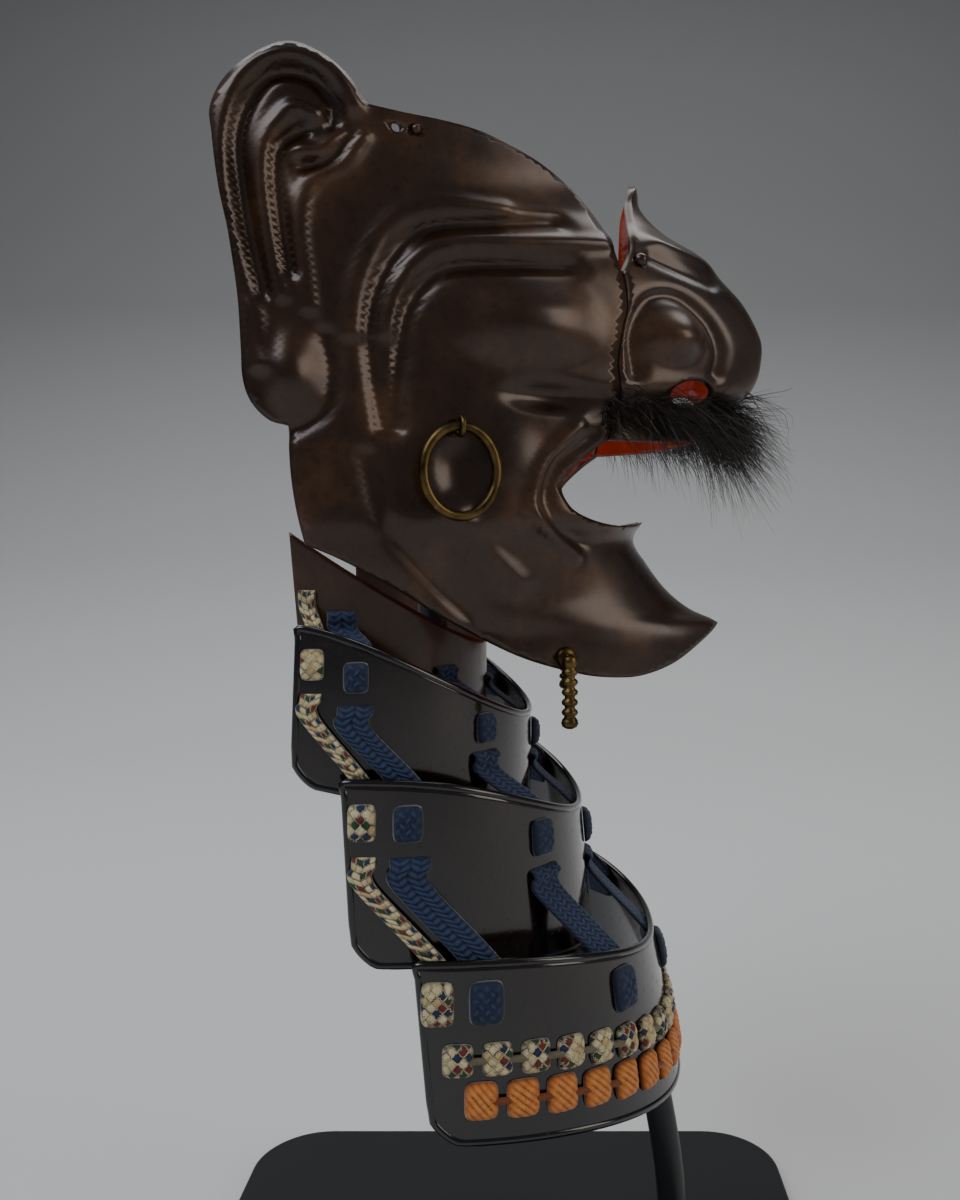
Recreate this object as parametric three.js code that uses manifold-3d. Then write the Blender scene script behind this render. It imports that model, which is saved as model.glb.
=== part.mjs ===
// Samurai face guard on a plain stand. Millimetres, +Z up, +X the way the face looks, y = 0 the mirror plane.
import * as THREE from "three";
import { mergeVertices } from "three/addons/utils/BufferGeometryUtils.js";
import Module from "manifold-3d";

const wasm = await Module();
wasm.setup();

// ---- driving dimensions ----
const SHEET = 1.6; // raised iron sheet of the face
const LAME_SHEET = 1.4; // hanging lames
const RIM = 2.4; // rolled edge of a lame
const GAP = 0.35; // between pieces that touch
const BRAID = 1.7; // thickness of a flat braid
const REAR = -79; // where every head section reaches its full width
const FACE_COLUMNS = 36;
const NOSE_COLUMNS = 16;
const FACE_TOLERANCE = 0.3; // how far the faceted sheet may leave the smooth one
const LAME_STATIONS = 20;
const LAME_POWER = 2.2; // plan of a lame: 2 is an ellipse, more is squarer

// ---- finishes ----
const FINISH = {
  iron: { color: 0x4a3021, metalness: 0.6, roughness: 0.38 },
  lacquer: { color: 0x1d1410, metalness: 0.0, roughness: 0.2 },
  brass: { color: 0x6e5632, metalness: 0.9, roughness: 0.4 },
  hair: { color: 0x1f1812, metalness: 0.0, roughness: 0.8 },
  blue: { color: 0x16233f, metalness: 0.0, roughness: 0.9 },
  cream: { color: 0xcdb98c, metalness: 0.0, roughness: 0.9 },
  orange: { color: 0xd17a34, metalness: 0.0, roughness: 0.9 },
  stand: { color: 0x16171a, metalness: 0.0, roughness: 0.35 },
};

// Head sections, one a height: how far the front reaches, half the full width, power of the plan curve.
const HEAD = [
  { z: 197, front: 67, half: 60, power: 1.5 },
  { z: 213, front: 67, half: 60.5, power: 1.5 },
  { z: 218.5, front: 65.5, half: 61, power: 1.5 },
  { z: 222.5, front: 57, half: 62, power: 1.6 },
  { z: 228.5, front: 49.5, half: 62.5, power: 1.7 },
  { z: 237, front: 43, half: 63.5, power: 1.85 },
  { z: 244, front: 39, half: 64, power: 2.0 },
  { z: 250, front: 42, half: 64.5, power: 2.1 },
  { z: 259, front: 47, half: 65, power: 1.9 },
  { z: 271, front: 61, half: 65, power: 1.7 },
  { z: 281, front: 63, half: 65, power: 1.65 },
  { z: 285, front: 67, half: 65, power: 1.6 },
  { z: 288.5, front: 74, half: 65, power: 1.55 },
  { z: 293.5, front: 77.6, half: 65, power: 1.5 },
  { z: 300, front: 79.2, half: 65, power: 1.5 },
  { z: 306, front: 79.2, half: 65, power: 1.5 },
  { z: 313, front: 76.3, half: 65, power: 1.5 },
  { z: 319, front: 72.5, half: 65, power: 1.5 },
  { z: 325, front: 67, half: 65, power: 1.5 },
  { z: 332, front: 61, half: 65, power: 1.5 },
  { z: 339, front: 49.5, half: 65, power: 1.5 },
  { z: 347, front: 41.5, half: 65, power: 1.55 },
  { z: 354, front: 40, half: 65, power: 1.6 },
  { z: 377, front: 30, half: 65, power: 1.8 },
];

// Folds beaten into the sheet, as paths in side view: rise is outward, width is the fold's half width.
const FOLDS = [
  { name: "brow edge", rise: 1.6, width: 3.2, path: [[-38.5, 299], [-37, 312], [-31, 326], [-19, 335], [0, 335.5]] },
  { name: "upper groove", rise: -2.6, width: 2.6,
    path: [[-30.5, 274], [-33.5, 299], [-29, 316], [-20, 327], [-3, 330.5], [16, 333]] },
  { name: "middle ridge", rise: 1.8, width: 2.8, path: [[-30.5, 300], [-27, 312], [-16.5, 323], [8, 326.5], [28, 329]] },
  { name: "lower groove", rise: -2.8, width: 2.6,
    path: [[-27, 274], [-26.5, 290], [-23.5, 306], [-14.5, 316.5], [3, 319], [20, 320.5]] },
  { name: "jaw line", rise: -1.6, width: 3.5, path: [[-34.5, 266], [-30, 250], [-19, 236], [-4, 220]] },
  { name: "smile line", rise: 1.4, width: 4.0, path: [[-12, 252], [-8, 246], [4, 233]] },
  { name: "lip bead", rise: 1.7, width: 2.0,
    path: [[21, 276.5], [12, 267], [8, 257], [9, 251.5], [13, 246], [20, 240]] },
  { name: "lip channel", rise: -1.2, width: 2.2, path: [[25, 273.5], [14, 264.5], [12, 256], [16, 248.5], [22, 244]] },
  { name: "ear rim", rise: 2.4, width: 3.0,
    path: [[-61, 290], [-63, 306], [-69, 325], [-70.5, 347], [-66, 362], [-55, 369.5], [-44, 366], [-38.5, 358]] },
  { name: "outer ear groove", rise: -2.6, width: 2.6,
    path: [[-61, 308], [-66, 334], [-67, 350], [-60, 363.5], [-50, 365], [-43, 359], [-43, 353]] },
  { name: "inner ear ridge", rise: 2.2, width: 2.6,
    path: [[-56, 308], [-59.5, 328], [-60, 345], [-54, 355.5], [-48, 354.5]] },
  { name: "inner ear groove", rise: -2.6, width: 2.2,
    path: [[-54, 314], [-57.5, 335], [-57, 346], [-51, 351]] },
  { name: "ear curl", rise: 2.0, width: 2.4, path: [[-51.5, 345], [-46, 345.5], [-41, 351]] },
  { name: "ear hook", rise: -2.2, width: 2.2, path: [[-50.5, 341.5], [-44.5, 344], [-39, 351]] },
  { name: "front ear ridge", rise: 2.0, width: 2.6,
    path: [[-36.5, 350], [-41, 343], [-49, 337], [-51.5, 325], [-49, 305]] },
  { name: "lobe crease", rise: -1.8, width: 2.4, path: [[-54, 272], [-45, 278], [-43, 288], [-45, 298]] },
  { name: "wing crease", rise: -2.2, width: 2.6,
    path: [[38, 292], [37, 303], [42, 313], [51, 315], [60, 309], [64, 301], [63, 294]] },
  { name: "bridge fold", rise: 1.3, width: 2.6, path: [[44, 333], [52, 331], [62, 329]] },
  { name: "bridge groove", rise: -1.4, width: 2.6, path: [[43, 327], [52, 324], [62, 321]] },
];

// Round bulges of the sheet in side view.
const BULGES = [
  { name: "cheek", x: 6, z: 304, reachX: 25, reachZ: 17, rise: 5.5 },
  { name: "under cheek", x: 14, z: 284, reachX: 17, reachZ: 6, rise: -3.5 },
  { name: "ring hollow", x: -11, z: 264, reachX: 8, reachZ: 12, rise: -2.2 },
  { name: "mouth mound", x: 2, z: 264, reachX: 13, reachZ: 15, rise: 1.8 },
  { name: "ear lobe", x: -54, z: 288, reachX: 9, reachZ: 14, rise: 4.5 },
  { name: "nostril wing", x: 49, z: 303, reachX: 11, reachZ: 9, rise: 4.5 },
];

// Side-view outlines: each run is smooth, and a corner joins it to the next.
const EAR = [[-35, 359], [-39.5, 365.5], [-47, 371], [-56, 372.5], [-68, 365], [-73.5, 356], [-73, 347.5],
  [-71, 334], [-68.5, 322], [-66.8, 307.5], [-66, 294], [-65.5, 286], [-63.4, 280], [-59, 275.5], [-54.2, 274.2]];
const REAR_EDGE = [[-54.2, 274.2], [-53.5, 262.5], [-52, 252.5], [-50, 243.5]];
const JAW_EDGE = [[-50, 243.5], [-40, 239], [-27, 231.5], [-16.5, 224.5], [-4, 217], [7.5, 211.3], [22, 206.6],
  [31, 205], [40, 205], [50, 208], [60, 214.3], [65.5, 218.5]];
const MOUTH_EDGE = [[43, 249.8], [35, 248.5], [27, 249.6], [20.5, 252.3], [17.5, 255.5], [16.3, 259], [18, 263],
  [24.4, 269], [29.3, 272.5]];
const SEAM = [[29.3, 272.5], [31, 278.5], [32.8, 285], [32, 294.6], [33.6, 304.8], [34.8, 310.7], [33.5, 320], [31, 328]];
const TOP_EDGE = [[31, 328], [25, 339], [19, 345.5], [11, 350.5], [2, 354], [-7, 356.5], [-16, 357.5], [-25, 358],
  [-35, 359]];
const NOSE_TOP = [[34.4, 321], [37, 328], [37.2, 338], [37.4, 347], [39.6, 354]];
const SEAM_GAP = 0.7;
const AHEAD = 90; // past the front of every section

// Hanging lames and the neck band: x and z of the upper and lower edge at front and rear, half widths, edge bend.
const BANDS = {
  neck_band: {
    frontTop: -7, frontBottom: -7, rearTop: -57, rearBottom: -55, halfTop: 50, halfBottom: 46,
    frontHigh: 214, frontLow: 186, rearHigh: 247, rearLow: 214, bend: 1.0,
  },
  lame_2: {
    frontTop: 7, frontBottom: 7, rearTop: -53.5, rearBottom: -55, halfTop: 57, halfBottom: 57,
    frontHigh: 192, frontLow: 159, rearHigh: 222.5, rearLow: 180, bend: 1.4,
  },
  lame_3: {
    frontTop: 22.5, frontBottom: 26, rearTop: -41, rearBottom: -38, halfTop: 61.5, halfBottom: 62,
    frontHigh: 164.5, frontLow: 124, rearHigh: 183, rearLow: 134, bend: 2.5,
  },
  lame_4: {
    frontTop: 44.5, frontBottom: 53, rearTop: -21.5, rearBottom: -17, halfTop: 67, halfBottom: 68.5,
    frontHigh: 126.5, frontLow: 84, rearHigh: 138, rearLow: 92, bend: 3.0,
  },
};

// Braid columns: place is the share of the lame's depth ahead of its rear edge.
const COLUMNS = [
  { name: "rear_cream", place: 0.075, braid: "cream", strip: 5.6, knot: [8, 10.5] },
  { name: "rear_blue", place: 0.26, braid: "blue", strip: 9.4, knot: [8.5, 10.5] },
  { name: "front_blue", place: 0.8, braid: "blue", strip: 10, knot: [9, 11] },
  { name: "centre_blue", place: 1, braid: "blue", strip: 10, knot: [9, 11] },
];
const KNOT_HEIGHT = 0.77; // share of the lame's height
const STRIP_START = 0.56;
const STRIP_LEAVES = 0.44;
const TAB = { width: 4.5, height: 2.2 };
const LACED = [
  { from: "neck_band", to: "lame_2", growth: 0.85 },
  { from: "lame_2", to: "lame_3", growth: 1.0 },
  { from: "lame_3", to: "lame_4", growth: 1.15 },
];
const ROWS = [
  { name: "cream_row", braid: "cream", height: 0.465, start: 0.13, pitch: 10.3, size: [8.6, 9] },
  { name: "orange_row", braid: "orange", height: 0.245, start: 0.2, pitch: 10.8, size: [9.4, 10.2] },
];

const RING = { x: -12, top: 274.5, radius: 10.2, tall: 1.16, wire: 1.3, standOff: 4.3, yaw: 0.42 };
const RIVETS = [{ name: "temple_rivet", x: -22.7, z: 354, head: 1.3 }, { name: "nose_stud", x: 39, z: 325, head: 2.0 }];
const CORD_HOLE = { x: -27.6, z: 354, radius: 1.3 };
const PEG = { x: 17.5, z: 211.5, length: 20 };
const NOSTRIL = { x: 55, z: 287.5, reachX: 7, reachZ: 3.6, tilt: 0.2 };

const BASE = { width: 200, thick: 5, corner: 26 };
const POLE = { radius: 4.5, route: [[52, 4], [51, 40], [47, 68], [42, 88], [32, 106], [17, 124], [2, 142], [-7, 158],
  [-16, 178], [-22, 198], [-24, 230], [-24, 285]] };
const CROSSBAR = { radius: 4, half: 47, pad: 7, padThick: 3 };

const UP = new THREE.Vector3(0, 0, 1);

// ---- small helpers ----
const sheetGroup = new THREE.Group();

function put(name, geometry, finish) {
  const mesh = new THREE.Mesh(geometry, new THREE.MeshStandardMaterial(FINISH[finish]));
  mesh.name = name;
  sheetGroup.add(mesh);
  return mesh;
}

// Smooth value of one column of a table at a height.
function tableAt(table, key, z) {
  const last = table.length - 1;
  if (z <= table[0].z) return table[0][key];
  if (z >= table[last].z) return table[last][key];
  const i = table.findIndex((row, k) => k < last && z <= table[k + 1].z);
  const slope = (k) => {
    const low = Math.max(k - 1, 0);
    const high = Math.min(k + 1, last);
    return (table[high][key] - table[low][key]) / (table[high].z - table[low].z);
  };
  const step = table[i + 1].z - table[i].z;
  const t = (z - table[i].z) / step;
  const h1 = t * t * (3 - 2 * t);
  return table[i][key] * (1 - h1) + table[i + 1][key] * h1 +
    step * (slope(i) * t * (1 - t) ** 2 - slope(i + 1) * t * t * (1 - t));
}

function smoothPath(points, perSegment) {
  const curve = new THREE.SplineCurve(points.map(([x, z]) => new THREE.Vector2(x, z)));
  return curve.getPoints((points.length - 1) * perSegment);
}

function distanceToPath(path, x, z) {
  let best = Infinity;
  for (let i = 1; i < path.length; i++) {
    const a = path[i - 1];
    const b = path[i];
    const dx = b.x - a.x;
    const dz = b.y - a.y;
    const t = Math.min(Math.max(((x - a.x) * dx + (z - a.y) * dz) / (dx * dx + dz * dz), 0), 1);
    best = Math.min(best, Math.hypot(x - a.x - t * dx, z - a.y - t * dz));
  }
  return best;
}

function toManifold(geometry) {
  const bare = geometry.index ? geometry.toNonIndexed() : geometry.clone();
  bare.deleteAttribute("normal");
  bare.deleteAttribute("uv");
  const merged = mergeVertices(bare, 1e-4);
  return new wasm.Manifold(new wasm.Mesh({
    numProp: 3,
    vertProperties: merged.attributes.position.array,
    triVerts: new Uint32Array(merged.index.array),
  }));
}

function toGeometry(manifold, tolerance = 0.03) {
  const mesh = manifold.simplify(tolerance).getMesh();
  const geometry = new THREE.BufferGeometry();
  geometry.setAttribute("position", new THREE.BufferAttribute(new Float32Array(mesh.vertProperties), 3));
  geometry.setIndex(new THREE.BufferAttribute(new Uint32Array(mesh.triVerts), 1));
  geometry.computeVertexNormals();
  return geometry;
}

function indexed(position, index) {
  const geometry = new THREE.BufferGeometry();
  geometry.setAttribute("position", new THREE.Float32BufferAttribute(position, 3));
  geometry.setIndex(index);
  const made = toManifold(geometry);
  if (made.volume() >= 0) return made;
  geometry.setIndex(index.slice().reverse());
  return toManifold(geometry);
}

// A solid bar through closed loops of the same count; the end loops are nearly flat and get caps.
function loft(loops) {
  const width = loops[0].length;
  const index = [];
  for (let i = 0; i + 1 < loops.length; i++) {
    for (let k = 0; k < width; k++) {
      const a = i * width + k;
      const b = i * width + ((k + 1) % width);
      index.push(a, b, b + width, a, b + width, a + width);
    }
  }
  for (const [at, turned] of [[0, true], [loops.length - 1, false]]) {
    const loop = loops[at];
    const across = loop[1].clone().sub(loop[0]).normalize();
    const normal = new THREE.Vector3();
    loop.forEach((p, k) => normal.add(p.clone().cross(loop[(k + 1) % width])));
    const up = normal.normalize().clone().cross(across);
    const flat = loop.map((p) => new THREE.Vector2(p.dot(across), p.dot(up)));
    for (const [a, b, c] of THREE.ShapeUtils.triangulateShape(flat, [])) {
      const tri = [a, b, c].map((k) => at * width + k);
      index.push(...(turned ? tri.reverse() : tri));
    }
  }
  return indexed(loops.flat().flatMap((p) => [p.x, p.y, p.z]), index);
}

// A sheet between an outer and an inner grid, both given as rows of points.
function sheet(outer, inner) {
  const rows = outer.length;
  const columns = outer[0].length;
  const at = (side, i, k) => (side * rows + i) * columns + k;
  const index = [];
  const quad = (a, b, c, d) => index.push(a, b, c, a, c, d);
  for (let i = 0; i + 1 < rows; i++) {
    for (let k = 0; k + 1 < columns; k++) {
      quad(at(0, i, k), at(0, i, k + 1), at(0, i + 1, k + 1), at(0, i + 1, k));
      quad(at(1, i, k), at(1, i + 1, k), at(1, i + 1, k + 1), at(1, i, k + 1));
    }
    quad(at(0, i, 0), at(0, i + 1, 0), at(1, i + 1, 0), at(1, i, 0));
    quad(at(0, i, columns - 1), at(1, i, columns - 1), at(1, i + 1, columns - 1), at(0, i + 1, columns - 1));
  }
  for (let k = 0; k + 1 < columns; k++) {
    quad(at(0, 0, k), at(1, 0, k), at(1, 0, k + 1), at(0, 0, k + 1));
    quad(at(0, rows - 1, k), at(0, rows - 1, k + 1), at(1, rows - 1, k + 1), at(1, rows - 1, k));
  }
  return indexed([outer, inner].flat(2).flatMap((p) => [p.x, p.y, p.z]), index);
}

// Extrudes a side-view outline right through the head.
function sideCutter(runs) {
  const points = runs.flatMap((run) => smoothPath(run, run.length > 2 ? 2 : 1).slice(0, -1));
  points.push(new THREE.Vector2(...runs[runs.length - 1][runs[runs.length - 1].length - 1]));
  const through = 240;
  const geometry = new THREE.ExtrudeGeometry(new THREE.Shape(points), { depth: through, bevelEnabled: false });
  geometry.rotateX(Math.PI / 2).translate(0, through / 2, 0);
  return toManifold(geometry);
}

// Closed cylinder or turned piece standing along a direction, its z = 0 at the given point.
function turned(profile, at, direction, segments) {
  const points = profile.map(([r, z]) => new THREE.Vector2(r, z));
  const geometry = new THREE.LatheGeometry(points, segments);
  const turn = new THREE.Quaternion().setFromUnitVectors(new THREE.Vector3(0, 1, 0), direction);
  geometry.applyQuaternion(turn).translate(at.x, at.y, at.z);
  const made = toManifold(geometry);
  if (made.volume() >= 0) return made;
  const flipped = geometry.index.array.slice().reverse();
  geometry.setIndex(new THREE.BufferAttribute(flipped, 1));
  return toManifold(geometry);
}

// A flat ribbon through stations that each give a centre, a width direction and a normal.
function ribbon(stations, thick) {
  return loft(stations.map(({ centre, across, normal, width }) => {
    const corner = (w, n) => centre.clone().addScaledVector(across, (w * width) / 2).addScaledVector(normal, (n * thick) / 2);
    return [corner(-1, -1), corner(1, -1), corner(1, 1), corner(-1, 1)];
  }));
}

// ---- the head surface ----
const foldPaths = FOLDS.map((fold) => ({ ...fold, points: smoothPath(fold.path, 4) }));

function relief(x, z) {
  let rise = 0;
  for (const fold of foldPaths) {
    const away = distanceToPath(fold.points, x, z) / fold.width;
    if (away < 2.5) rise += fold.rise * Math.exp(-away * away * 1.4);
  }
  for (const bulge of BULGES) {
    const away = Math.hypot((x - bulge.x) / bulge.reachX, (z - bulge.z) / bulge.reachZ);
    if (away < 1) rise += bulge.rise * (1 - away * away) ** 2;
  }
  return rise;
}

// Point of the head at a turn from the front (radians, negative on the right side) and a height.
function headPoint(turn, z, inset) {
  const power = tableAt(HEAD, "power", z);
  const front = tableAt(HEAD, "front", z);
  const half = tableAt(HEAD, "half", z);
  const place = (f, h) => {
    const x = f - (f - REAR) * (1 - Math.cos(turn) ** (2 / power));
    return new THREE.Vector3(x, Math.sign(turn) * h * Math.abs(Math.sin(turn)) ** (2 / power), z);
  };
  const skin = place(front, half);
  const point = inset ? place(front - inset * 1.15, half - inset) : skin.clone();
  const side = Math.abs(Math.sin(turn));
  const out = new THREE.Vector3(Math.cos(turn) ** 1.5, Math.sign(turn) * side, 0).normalize();
  return point.addScaledVector(out, relief(skin.x, z) * Math.min(side * 2.5, 1));
}

function headGrid(turns, heights, inset) {
  return heights.map((z) => turns.map((turn) => headPoint(turn, z, inset)));
}

// The turn at which the section at this height passes a given x.
function turnAt(x, z) {
  const front = tableAt(HEAD, "front", z);
  const share = 1 - (front - x) / (front - REAR);
  return Math.acos(share ** (tableAt(HEAD, "power", z) / 2));
}

// Point and outward normal of the skin at a side-view place; side is -1 on the right.
function skinAt(x, z, side) {
  const turn = side * turnAt(x, z);
  const point = headPoint(turn, z, 0);
  const along = headPoint(turn + 0.02, z, 0).sub(headPoint(turn - 0.02, z, 0));
  const rise = headPoint(side * turnAt(x, z + 1), z + 1, 0).sub(headPoint(side * turnAt(x, z - 1), z - 1, 0));
  return { point, normal: along.cross(rise).normalize() };
}

function steps(from, to, count, shape = (t) => t) {
  return Array.from({ length: count + 1 }, (_, i) => from + (to - from) * shape(i / count));
}

// A straight hole through the sheet along its normal.
function drill(x, z, side, radius) {
  const { point, normal } = skinAt(x, z, side);
  return turned([[0, -6], [radius, -6], [radius, 4], [0, 4]], point, normal, 10);
}

const nostrilCutter = () => {
  const shape = new THREE.Shape().absellipse(0, 0, NOSTRIL.reachX, NOSTRIL.reachZ, 0, Math.PI * 2, false, NOSTRIL.tilt);
  const geometry = new THREE.ExtrudeGeometry(shape, { depth: 120, bevelEnabled: false, curveSegments: 8 });
  return toManifold(geometry.rotateX(Math.PI / 2).translate(NOSTRIL.x, 60, NOSTRIL.z));
};

function facePlate() {
  const turns = steps(-Math.PI / 2, Math.PI / 2, FACE_COLUMNS);
  const heights = [...steps(200, 246, 8), ...steps(252, 371, 19), 376];
  const blank = sheet(headGrid(turns, heights, 0), headGrid(turns, heights, SHEET));
  const ahead = [[JAW_EDGE[JAW_EDGE.length - 1], [AHEAD, 221]], [[AHEAD, 221], [AHEAD, 249.8]],
    [[AHEAD, 249.8], MOUTH_EDGE[0]]];
  let plate = blank.intersect(sideCutter([EAR, REAR_EDGE, JAW_EDGE, ...ahead, MOUTH_EDGE, SEAM, TOP_EDGE]));
  for (const side of [-1, 1]) {
    plate = plate.subtract(drill(CORD_HOLE.x, CORD_HOLE.z, side, CORD_HOLE.radius));
    plate = plate.subtract(drill(RIVETS[0].x, RIVETS[0].z, side, RIVETS[0].head * 0.6 + GAP));
    plate = plate.subtract(drill(RING.x, RING.top, side, 1.1 + GAP));
    plate = plate.subtract(drill(PEG.x, PEG.z, side, 1.0 + GAP));
  }
  put("face_plate", toGeometry(plate, FACE_TOLERANCE), "iron");
}

function nosePlate() {
  const turns = steps(-0.85, 0.85, NOSE_COLUMNS);
  const heights = [...steps(268, 283, 3), ...steps(287, 356, 12)];
  const blank = sheet(headGrid(turns, heights, 0), headGrid(turns, heights, SHEET));
  const seam = SEAM.slice(0, -2).map(([x, z]) => [x + SEAM_GAP, z]);
  const outline = [seam, [seam[seam.length - 1], NOSE_TOP[0]], NOSE_TOP, [NOSE_TOP[NOSE_TOP.length - 1], [AHEAD, 356]],
    [[AHEAD, 356], [AHEAD, 275]], [[AHEAD, 275], [47, 273]], [[47, 273], seam[0]]];
  let plate = blank.intersect(sideCutter(outline)).subtract(nostrilCutter());
  for (const side of [-1, 1]) {
    plate = plate.subtract(drill(RIVETS[1].x, RIVETS[1].z, side, RIVETS[1].head * 0.6 + GAP));
  }
  put("nose_plate", toGeometry(plate, FACE_TOLERANCE), "iron");
}

const SIDES = [["right", -1], ["left", 1]];

function rivets() {
  for (const { name, x, z, head } of RIVETS) {
    for (const [side, sign] of SIDES) {
      const { point, normal } = skinAt(x, z, sign);
      const shank = head * 0.6;
      const profile = [[0, -SHEET - 1.6], [head, -SHEET - 1.6], [head, -SHEET - 0.6], [shank, -SHEET - 0.6],
        [shank, 0.6], [head, 0.6], [head * 0.75, 0.6 + head * 0.75], [0, 0.6 + head]];
      put(`${name}_${side}`, toGeometry(turned(profile, point, normal, 10)), "iron");
    }
  }
}

// Ear rings hang in an eye whose shank passes through the cheek and is spread inside.
function earRings() {
  for (const [side, sign] of SIDES) {
    const { point, normal } = skinAt(RING.x, RING.top, sign);
    const yaw = -sign * RING.yaw;
    const centre = point.clone().add(new THREE.Vector3(0, sign * RING.standOff, 0).applyAxisAngle(UP, yaw));
    const eye = new THREE.TorusGeometry(RING.wire + GAP + 0.75, 0.7, 6, 12).rotateY(Math.PI / 2).rotateZ(yaw);
    const shankStart = -SHEET - 1.8;
    const shank = [[0, shankStart], [2.4, shankStart], [2.4, shankStart + 0.9], [1.1, shankStart + 0.9],
      [1.1, RING.standOff - RING.wire - GAP - 0.3], [0, RING.standOff - RING.wire - GAP - 0.3]];
    const staple = toManifold(eye.translate(centre.x, centre.y, centre.z)).add(turned(shank, point, normal, 10));
    put(`ring_staple_${side}`, toGeometry(staple), "brass");
    const ring = new THREE.TorusGeometry(RING.radius, RING.wire, 6, 22).rotateX(Math.PI / 2);
    const mesh = put(`ear_ring_${side}`, ring.scale(1, 1, RING.tall), "brass");
    mesh.position.set(centre.x, centre.y, centre.z - RING.radius * RING.tall);
    mesh.rotation.z = yaw;
  }
}

function chinPegs() {
  for (const [side, sign] of SIDES) {
    const { point, normal } = skinAt(PEG.x, PEG.z, sign);
    const rosette = [[0, -SHEET - 1.4], [2, -SHEET - 1.4], [2, -SHEET - 0.6], [1, -SHEET - 0.6], [1, 0.4], [3, 0.4],
      [2.4, 1.4], [0, 1.8]];
    const rings = [5, 8.5, 12];
    const profile = [[0, 0], [2.1, 0], [2.1, -2.5]];
    for (const down of rings) profile.push([1.6, -down + 0.4], [2.4, -down - 0.4], [2.4, -down - 1.2], [1.6, -down - 2]);
    profile.push([2.2, -PEG.length + 2.6], [2.4, -PEG.length + 1.2], [1.2, -PEG.length], [0, -PEG.length]);
    const hung = point.clone().addScaledVector(normal, 2.6);
    hung.z += 0.5;
    const peg = turned(profile, hung, UP, 8);
    const foot = turned([[0, 0.9], [1.5, 0.9], [1.5, 3], [0, 3]], point, normal, 8);
    put(`chin_peg_${side}`, toGeometry(turned(rosette, point, normal, 8).add(foot).add(peg)), "brass");
  }
}

// ---- moustache: locks rooted in a strip along the upper lip ----
const MOUSTACHE = { low: 276, high: 283.5, thick: 2.2, locks: 11, farthest: 0.62 };

function moustache() {
  const turns = steps(-MOUSTACHE.farthest, MOUSTACHE.farthest, 18);
  const offset = (turn, z, out) => {
    const point = headPoint(turn, z, 0);
    const front = new THREE.Vector3(Math.cos(turn) ** 2, Math.sign(turn) * Math.abs(Math.sin(turn)), 0).normalize();
    return point.addScaledVector(front, out);
  };
  const near = 1.4;
  let hair = loft(turns.map((turn) => [offset(turn, MOUSTACHE.low, near), offset(turn, MOUSTACHE.low, near + MOUSTACHE.thick),
    offset(turn, MOUSTACHE.high, near + MOUSTACHE.thick), offset(turn, MOUSTACHE.high, near)]));
  for (const turn of steps(-MOUSTACHE.farthest * 0.96, MOUSTACHE.farthest * 0.96, MOUSTACHE.locks)) {
    const root = offset(turn, (MOUSTACHE.low + MOUSTACHE.high) / 2, near + 1);
    const forward = 1 - Math.abs(turn) / MOUSTACHE.farthest;
    const tip = root.clone().add(new THREE.Vector3(5 + 14 * forward, Math.sin(turn) * 14, -10 - 6 * forward));
    const along = tip.clone().sub(root).normalize();
    const length = root.distanceTo(tip);
    const lock = [[0, 0], [2.6, 0], [2.9, length * 0.35], [1.8, length * 0.75], [0, length]];
    hair = hair.add(turned(lock, root, along, 5));
  }
  put("moustache", toGeometry(hair, 0.1), "hair");
}

// ---- neck band and lames ----
function bandPoint(band, turn, height, offset = 0) {
  const mix = (low, high) => low + (high - low) * height;
  const front = mix(band.frontBottom, band.frontTop);
  const rear = mix(band.rearBottom, band.rearTop);
  const half = mix(band.halfBottom, band.halfTop);
  const c = Math.cos(turn);
  const s = Math.abs(Math.sin(turn));
  const share = c ** (2 / LAME_POWER);
  const low = band.rearLow + (band.frontLow - band.rearLow) * share ** band.bend;
  const high = band.rearHigh + (band.frontHigh - band.rearHigh) * share ** band.bend;
  const grade = (2 * (LAME_POWER - 1)) / LAME_POWER;
  const normal = new THREE.Vector3(c ** grade / (front - rear), (Math.sign(turn) * s ** grade) / half, 0).normalize();
  const point = new THREE.Vector3(rear + (front - rear) * share, Math.sign(turn) * half * s ** (2 / LAME_POWER),
    low + (high - low) * height);
  return { point: point.addScaledVector(normal, offset), normal };
}

// A frame that lies on the sloping wall of a band: centre, outward normal, and the two directions in the wall.
function bandFrame(band, turn, height, offset) {
  const { point, normal } = bandPoint(band, turn, height, offset);
  const up = bandPoint(band, turn, height + 0.05).point.sub(bandPoint(band, turn, height - 0.05).point).normalize();
  const across = UP.clone().cross(normal).normalize();
  up.addScaledVector(across, -up.dot(across)).normalize();
  return { centre: point, normal: across.clone().cross(up).normalize(), across, up };
}

const bandTurn = (place, sign) => sign * Math.acos(place ** (LAME_POWER / 2));

function bandBlank(band) {
  const stations = steps(-Math.PI / 2, Math.PI / 2, LAME_STATIONS);
  const corner = 0.09;
  return loft(stations.map((turn) => {
    const fromEnd = 1 - Math.abs(turn) / (Math.PI / 2);
    const lift = fromEnd < corner ? 0.22 * (1 - Math.sqrt(1 - (1 - fromEnd / corner) ** 2)) : 0;
    const at = (height, out) => bandPoint(band, turn, Math.max(height, lift), out).point;
    const bead = RIM / 2 - LAME_SHEET / 2;
    const rim = RIM / (band.rearHigh - band.rearLow);
    return [at(0, 0), at(0.5, 0), at(1 - rim, 0), at(1 - rim * 0.5, bead), at(1, -LAME_SHEET * 0.3),
      at(1, -LAME_SHEET * 0.7), at(1 - rim * 0.5, -LAME_SHEET - bead), at(1 - rim, -LAME_SHEET), at(0.5, -LAME_SHEET),
      at(0, -LAME_SHEET)];
  }));
}

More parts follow.
